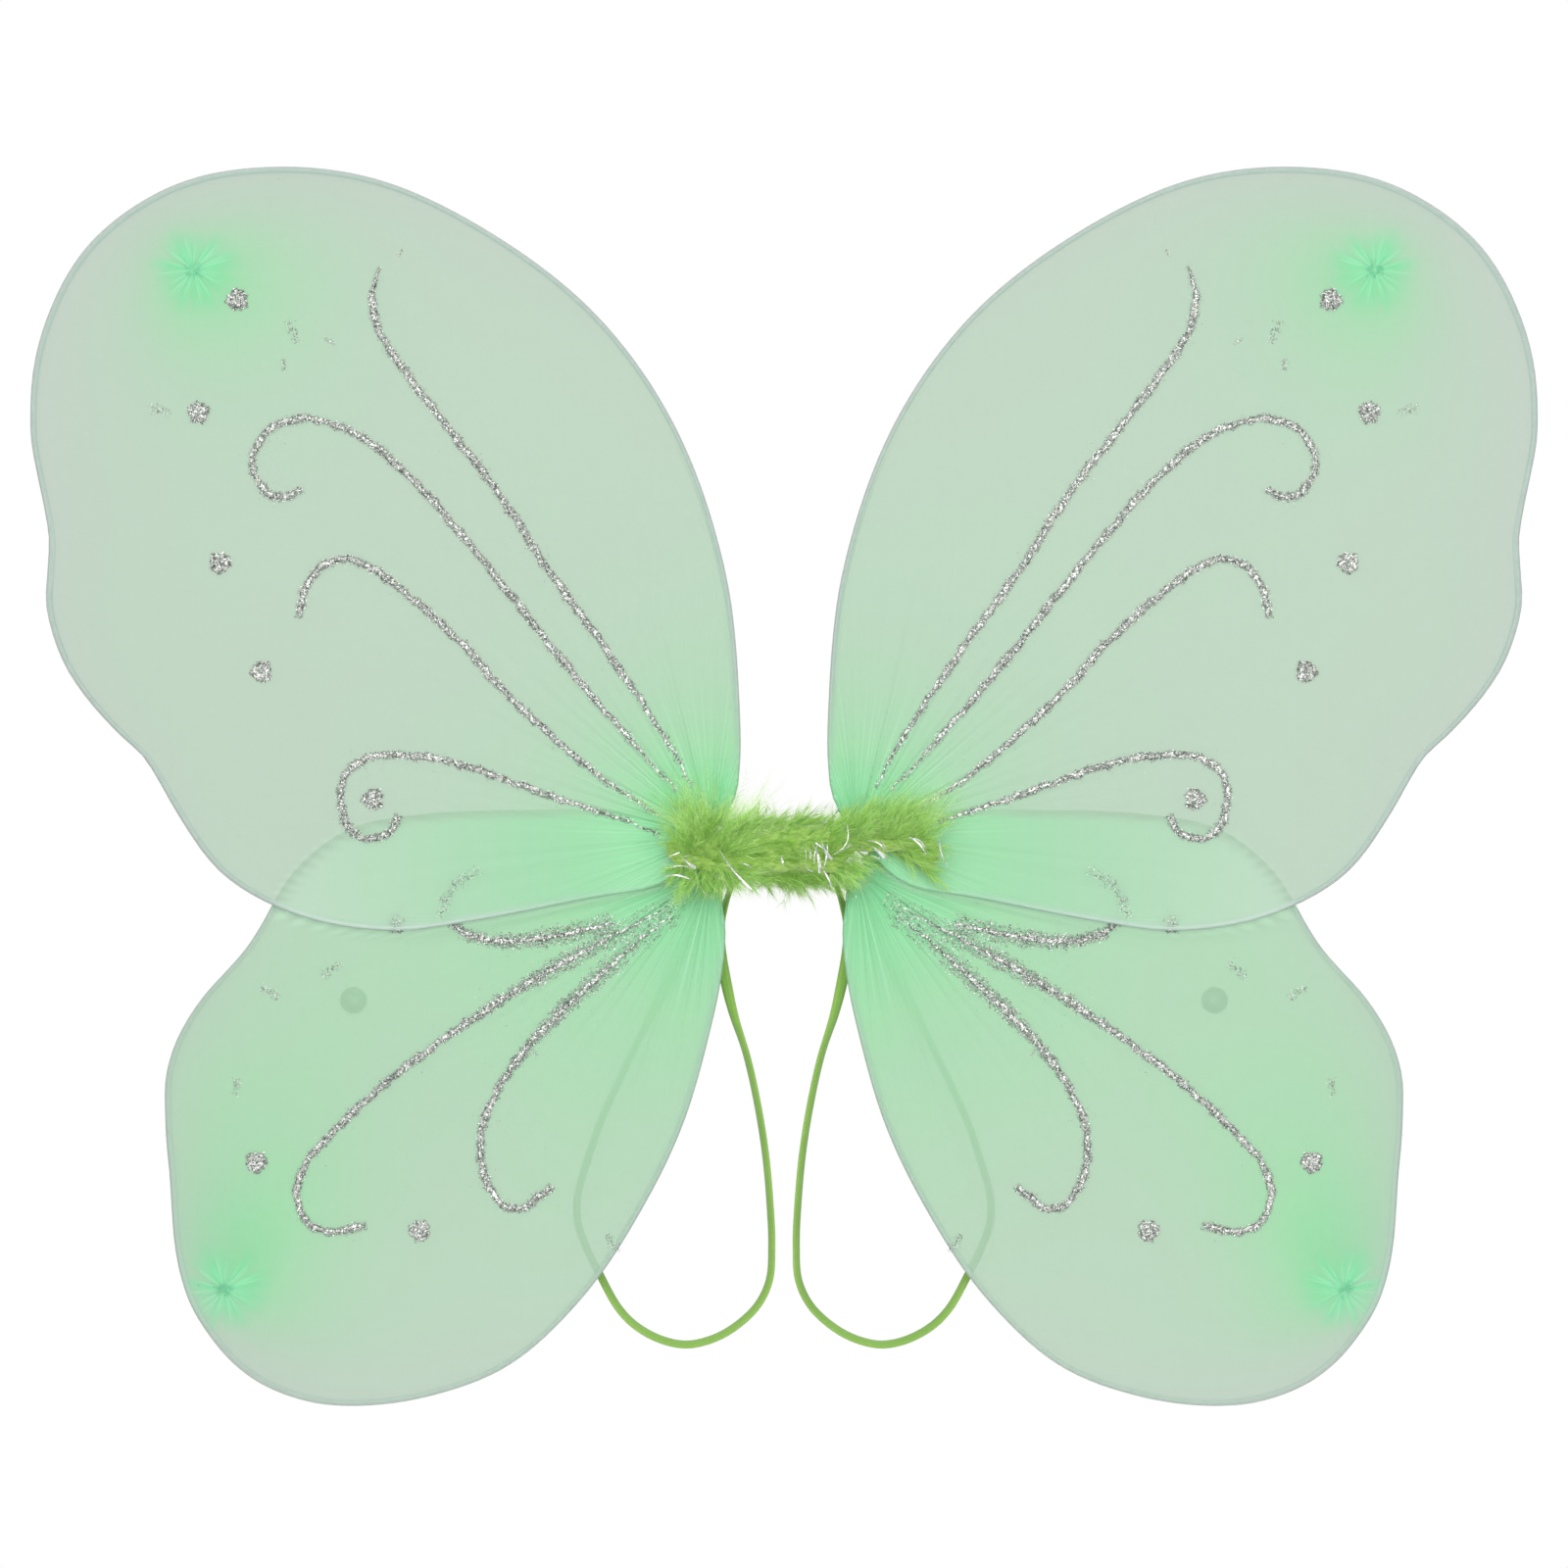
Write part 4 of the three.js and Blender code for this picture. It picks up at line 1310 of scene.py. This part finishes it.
def boa_section(x):
    """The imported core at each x: its middle depth and height, and half of each side."""
    low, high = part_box("marabou_boa")
    shrink = 3.5 * MM
    spray_back = -18.2 * MM
    wrapped = 1 - smoothstep(abs(x), 13.7 * MM, 16.2 * MM)
    back = spray_back + (high.y - shrink - spray_back) * wrapped
    front = low.y + shrink
    end = np.minimum(x - low.x, high.x - x) / (16 * MM)
    round_end = np.sqrt(np.clip(1 - (1 - np.clip(end, 0, 1)) ** 2, 0.01, 1))
    # On the right the boa passes above the lower wing's root.
    raised = smoothstep(x, 19 * MM, 27 * MM) * (1 - smoothstep(x, 42 * MM, 52 * MM))
    height = ((high.z - low.z) / 2 - shrink) * (0.80 + 0.20 * wrapped - 0.28 * raised) * round_end
    depth = (back - front) / 2 * round_end
    return (front + back) / 2, (high.z + low.z) / 2 + 5 * MM * raised, depth, height


def boa_core():
    """The dense middle of the boa, which the barbs grow out of."""
    low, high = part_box("marabou_boa")
    rows, turns = 120, 48
    x = np.linspace(low.x + 0.5 * MM, high.x - 0.5 * MM, rows)
    middle, rise, depth, height = boa_section(x)
    c, s = oval(2, 2, turns, 0.75).T
    y = middle[:, None] + depth[:, None] * c
    z = rise[:, None] + height[:, None] * s
    points = np.stack([np.repeat(x, turns), y.ravel(), z.ravel()], axis=1)
    out = unit(np.stack([np.zeros(rows * turns), np.tile(c, rows), np.tile(s, rows)], axis=1))
    lumpy = 1.3 * MM * lumps(points, 7 * MM) + 0.5 * MM * lumps(points, 2.5 * MM, 5)
    return points + out * lumpy[:, None], tube_faces(rows, turns)


def ribbons(base, heading, bend, length, width, steps, rng, wander=0.1):
    """A tapered ribbon from each base point, which starts along heading and curves towards bend."""
    count = len(base)
    heading = unit(heading)
    points = [base]
    for _ in range(steps):
        heading = unit(heading + bend / steps + rng.normal(0, wander, (count, 3)))
        points.append(points[-1] + heading * (length / steps)[:, None])
    line = np.stack(points, axis=1)
    across = unit(np.cross(heading, rng.normal(0, 1, (count, 3))))
    t = np.linspace(0, 1, steps + 1)
    half = (width[:, None] / 2 * (1 - 0.8 * t**1.5))[..., None] * across[:, None]
    vertices = np.stack([line - half, line + half], axis=2)
    k = np.arange(steps)
    quad = np.stack([2 * k, 2 * k + 1, 2 * k + 3, 2 * k + 2], axis=1)
    faces = quad[None] + (2 * (steps + 1) * np.arange(count))[:, None, None]
    along = np.broadcast_to(t[None, :, None], (count, steps + 1, 2))
    return vertices.reshape(-1, 3), faces.reshape(-1, 4), along.ravel(), line


def grow_barbs(line, out, tone, reach, barbs, rng):
    """Barbs down both sides of each quill, most of them fine and a few broad and pale."""
    count, steps = len(line), line.shape[1] - 1
    plume = np.repeat(np.arange(count), barbs)
    where = rng.uniform(0.02, 1.0, len(plume))
    spot = where * steps
    k = np.minimum(spot.astype(int), steps - 1)
    step = line[plume, k + 1] - line[plume, k]
    root = line[plume, k] + step * (spot - k)[:, None]
    forward = unit(step)
    plane = unit(np.cross(forward, unit(out + rng.normal(0, 0.3, (count, 3)))[plume]))
    hand = rng.choice([-1.0, 1.0], len(plume))[:, None]
    heading = forward * 0.9 + plane * hand * 0.8 + rng.normal(0, 0.16, (len(plume), 3))
    sway = rng.normal(0, 0.35, (count, 3))[plume]
    bend = forward * 1.1 - plane * hand * 0.35 + sway + rng.normal(0, 0.16, (len(plume), 3))
    size = reach[plume] * 0.75 * (1.1 - 0.5 * where) * rng.uniform(0.6, 1.3, len(plume))
    broad = rng.uniform(0, 1, len(plume)) < 0.08
    widths = rng.uniform(0.22, 0.42, len(plume)), rng.uniform(0.07, 0.16, len(plume))
    width = np.where(broad, *widths) * MM
    vertices, faces, along, _ = ribbons(root, heading, bend, size, width, 4, rng, wander=0.05)
    barb_tone = tone[plume] + rng.normal(0, 0.22, len(plume)) + 0.5 * broad
    return vertices, faces, along, np.repeat(np.clip(barb_tone, 0, 1), len(vertices) // len(plume))


def grow_plumes(x, angle, rng, reach, barbs, thin=0.0):
    """Plumes on the core at each x and angle round it: a quill with barbs down both sides.

    thin is how far along its fade to clear a barb already is at its root.
    """
    count = len(x)
    middle, height, half_depth, half_height = boa_section(x)
    none = np.zeros(count)
    out = np.stack([none, -np.cos(angle), np.sin(angle)], axis=1)
    base = np.stack([x, middle, height], axis=1)
    base = base + out * np.stack([none, half_depth, half_height], axis=1) * 0.85
    # On the front the down is combed to the right, and behind it spreads out to both sides.
    behind = np.clip(x / 0.009, -1, 1)
    flow = np.where(abs(angle) < 2, np.clip((x + 0.030) / 0.010, -1, 1), behind)
    flow = flow + rng.normal(0, 0.45, count)
    free = smoothstep(abs(x), 10 * MM, 20 * MM)
    rise = np.where(angle < -0.6, -0.25, 0.10 + 0.40 * free)
    lean = 0.30 + 0.45 * free
    heading = np.stack([flow * 1.2, none, rise + rng.normal(0, 0.3, count)], axis=1)
    heading = lean[:, None] * out + heading
    droop = 1.2 * rise + rng.normal(0, 0.4, count)
    bend = np.stack([flow * 0.7, np.full(count, 0.1), droop], axis=1)
    length = reach * rng.uniform(0.6, 1.25, count)
    tone = rng.beta(0.7, 0.8, count) + 0.55 * (free - 0.55)
    width = np.full(count, 0.20 * MM)
    quills, quill_faces, quill_along, line = ribbons(base, heading, bend, length, width, 6, rng)
    quill_tone = np.repeat(np.clip(tone + 0.4, 0, 1), len(quills) // count)
    barb_v, barb_faces, barb_along, barb_tone = grow_barbs(line, out, tone, reach, barbs, rng)
    vertices = np.vstack([quills, barb_v])
    faces = np.vstack([quill_faces, barb_faces + len(quills)])
    along = np.concatenate([quill_along * 0.5, barb_along])
    return vertices, faces, thin + (1 - thin) * along, np.concatenate([quill_tone, barb_tone])


def keep_in_room(vertices):
    """Barbs that would pass the wearer's side, or stand far out in front, lie flatter."""
    low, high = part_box("marabou_boa")
    back, front = high.y - 0.5 * MM, low.y - 4 * MM
    y = vertices[:, 1]
    y = np.where(y > back, back + (y - back) * 0.12, y)
    vertices[:, 1] = np.where(y < front, front + (y - front) * 0.35, y)
    return vertices


def tufts(x):
    """How much longer or shorter the down is along the boa, with a parting over the right root."""
    parting = np.exp(-(((x - 31 * MM) / (4 * MM)) ** 2))
    return (1 + 0.16 * waves(x / (60 * MM), [2, 5, 9], [1.2, 0.4, 2.9])) * (1 - 0.55 * parting)


SEAM = 16 * MM  # the middle mass of down meets the outer two this far from the centre
# Each mass's plumes, how far round the core they spread and how far out they reach, in mm, then
# the number and reach of its long thin wisps.
MASSES = {
    "middle": (400, math.pi, 11, 60, 13),
    "left": (195, 2.0, 10, 90, 17),
    "right": (260, 2.0, 10, 100, 17),
}


def grow_mass(part, start, end, rng):
    """The plumes, the wisps above and the short down below one mass of the boa."""
    low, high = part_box("marabou_boa")
    plumes, spread, reach, wisps, wisp_reach = MASSES[part]
    rooted = np.clip([start, end], low.x + 6 * MM, high.x - 6 * MM)
    x = rng.uniform(*rooted, plumes)
    angle = rng.uniform(-spread, spread, plumes)
    above_root = (x > 24 * MM) & (x < 43 * MM) & (rng.uniform(0, 1, plumes) < 0.8)
    angle = np.where(above_root, abs(angle) - 0.4, angle)
    grown = [grow_plumes(x, angle, rng, reach * MM * tufts(x), 44)]
    x = rng.uniform(*rooted, wisps)
    long = wisp_reach * MM * (0.45 + 0.55 * smoothstep(abs(x), 9 * MM, 19 * MM))
    grown.append(grow_plumes(x, rng.uniform(0.4, 2.0, wisps), rng, long * tufts(x), 36, 0.76))
    below = 70
    x = np.sign(start + end) * rng.uniform(14 * MM, 25 * MM, below)
    angle = rng.uniform(-2.1, -1.1, below)
    grown.append(grow_plumes(x, angle, rng, np.full(below, 10 * MM), 30, 0.45))
    return grown


def add_boa():
    """The core and three masses of down: one on the centre, and one at each wing."""
    low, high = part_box("marabou_boa")
    rng = np.random.default_rng(11)
    core, core_faces = boa_core()
    ends = {"middle": (-SEAM, SEAM), "left": (low.x, -SEAM), "right": (SEAM, high.x)}
    for part, (start, end) in ends.items():
        grown = grow_mass(part, start, end, rng)
        packed = [face for face in core_faces if start <= core[face[0]][0] < end]
        down = [(keep_in_room(vertices), faces) for vertices, faces, _, _ in grown]
        vertices, faces = joined([*down, (core, packed)])
        slots = [0] * (len(faces) - len(packed)) + [1] * len(packed)
        none = np.zeros(len(core))
        along = np.concatenate([*[g[2] for g in grown], none])
        tone = np.concatenate([*[g[3] for g in grown], none])
        values = {"along": along, "tone": tone}
        materials = [MATERIALS["down"], MATERIALS["fluff"]]
        piece = add_mesh(f"marabou_{part}", vertices, faces, materials, slots=slots, values=values)
        if part == "middle":
            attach(piece, "centre")
            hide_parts("marabou_boa")
        else:
            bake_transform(piece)


# ---------------------------------------------------------------- tinsel


def foil_strands(lines, widths, rng):
    """A thin flat strip of foil along each line."""
    parts = []
    for line, width in zip(lines, widths):
        line = curve_through(line, 0.9 * MM)
        twist = rng.uniform(0, math.pi) + np.linspace(0, rng.uniform(0.5, 2.0), len(line))
        parts.append(tube(line, turned(oval(width, 0.09 * MM, 4), twist), (0.01, -1, 0.02)))
    return joined(parts)


# Strands of foil that show on the down, in mm: both ends as (x, z), how far each bows sideways
# and its width.
STRANDS = {
    "middle": [
        ((7.1, 2.2), (5.9, -5.6), -0.6, 0.35), ((9.0, 2.2), (9.8, -2.3), 0.3, 0.5),
        ((10.9, 2.7), (13.1, -7.7), 0.8, 0.8), ((11.7, 3.5), (16.7, -2.3), 0.6, 0.35),
        ((13.8, 4.3), (17.9, -2.7), -0.8, 0.9), ((23.3, 9.7), (18.4, -0.7), 2.4, 0.22),
        ((14.6, -6.9), (17.3, -12.3), 0.3, 0.4), ((-23.6, 0.6), (-12.0, -13.5), -0.9, 0.5),
        ((-1.2, -1.5), (-0.3, -5.6), 0.3, 0.55), ((-16.1, -4.0), (-12.0, -5.6), 0.3, 0.35),
        ((6.3, -2.3), (10.5, -7.3), -0.7, 0.35), ((8.0, 1.0), (7.1, -7.3), 0.5, 0.35),
        ((15.9, 3.1), (14.6, -5.6), 0.5, 0.4), ((12.4, 2.9), (11.2, -4.0), -0.5, 0.4),
    ],
    "right": [
        ((30.0, 3.5), (37.5, -2.3), 0.4, 1.1), ((28.7, 2.2), (35.4, -2.3), -0.9, 0.4),
        ((35.4, 4.3), (38.3, -4.0), 1.2, 0.45), ((23.3, 2.2), (29.2, 0.2), 0.9, 0.6),
        ((19.6, 1.0), (24.6, 2.7), -0.6, 0.45), ((45.3, 5.1), (52.0, 1.8), 1.4, 0.4),
        ((46.2, 5.6), (52.4, -0.7), 0.8, 0.4), ((57.4, 3.5), (61.0, -6.0), -0.8, 0.5),
        ((31.0, 4.2), (37.0, 1.0), 1.0, 0.4),
    ],
    "left": [
        ((-41.9, -5.6), (-31.9, -6.9), 1.2, 0.45), ((-40.6, -5.2), (-31.9, -8.6), 1.2, 0.45),
        ((-43.9, -9.0), (-33.5, -10.6), 1.2, 0.4), ((-43.0, -9.0), (-38.5, -0.2), 3.0, 0.35),
        ((-38.5, -0.7), (-32.7, -5.6), -0.5, 0.8), ((-36.5, -1.5), (-32.3, -3.2), 0.8, 0.7),
        ((-29.8, -14.4), (-27.7, -17.3), 0.3, 0.35),
    ],
}


def add_tinsel():
    """Foil strands that start and end in the down and arch clear of it."""
    rng = np.random.default_rng(23)
    low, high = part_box("marabou_boa")
    for part, strands in STRANDS.items():
        lines = []
        for first, last, bow, _ in strands:
            first, last = np.array(first) * MM, np.array(last) * MM
            away = last - first
            sideways = np.array([-away[1], away[0]]) / np.linalg.norm(away)
            t = np.linspace(0, 1, 6)[:, None]
            arch = 4 * t * (1 - t)
            place = first + away * t + sideways * bow * MM * arch
            x = np.clip(place[:, :1], low.x + 2 * MM, high.x - 2 * MM)
            middle, _, half_depth, _ = boa_section(x)
            depth = middle - half_depth - 8 * MM - rng.uniform(1.0, 2.5) * MM * arch
            lines.append(np.hstack([place[:, :1], depth, place[:, 1:]]))
        widths = np.array([1.25 * strand[3] for strand in strands]) * MM
        add_strands(part, lines, widths, rng)


def add_strands(part, lines, widths, rng):
    vertices, faces = foil_strands(lines, widths, rng)
    piece = add_mesh(f"tinsel_{part}", vertices, faces, [MATERIALS["foil"]], smooth=False)
    if part == "middle":
        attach(piece, "centre")
        return
    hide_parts(f"tinsel_strand_{part}")
    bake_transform(piece)


# ---------------------------------------------------------------- the carried-over CAD nodes


def finish_node(node, material, levels=0):
    """A CAD node keeps its shape and gets a better material, rounded where levels is above 0."""
    piece = frame["nodes"][node]
    piece.data.materials.clear()
    piece.data.materials.append(MATERIALS[material])
    if levels:
        weld = piece.modifiers.new("weld", "WELD")
        weld.merge_threshold = 0.001 * MM
        rounder = piece.modifiers.new("round", "SUBSURF")
        rounder.levels = levels
        rounder.render_levels = levels
        piece.data.shade_smooth()


def add_floor():
    low, _ = CAD_BOX
    sides = 64
    rim = np.hstack([0.6 * directions(full_turn(sides)), np.zeros((sides, 1))])
    floor = add_mesh("floor", rim, [list(range(sides))], [make_floor()], smooth=False)
    floor.location.z = low.z - 175 * MM


# ---------------------------------------------------------------- assembly

scene = bpy.context.scene
scene.view_settings.view_transform = "Standard"
scene.cycles.transparent_max_bounces = 24

add_camera()
for hand, side in SIDES.items():
    add_strap(hand, side)
    add_strap_knot(hand, side)
    add_strap_hitch(hand, side)

add_world(seen=1.0, given=0.30)
add_light("key", (-0.7, -1.7, 0.7), 2.2, 43)
add_light("fill", (1.0, -1.6, 0.2), 1.4, 22)
add_light("back", (0.2, 1.5, 0.9), 1.8, 18)
add_floor()

for hand, side in SIDES.items():
    for wing in WINGS:
        add_sleeve(wing, hand, side)
        add_tip_knot(wing, hand, side)
        add_root_tie(wing, hand, side)
        finish_node(f"{wing}_wire_{hand}", "coated_wire", levels=1)
    add_glitter(hand, side)
for wing in WINGS:
    finish_node(f"{wing}_wire_twist", "bare_wire")
finish_node("binding_tape", "tape")
add_boa()
add_tinsel()
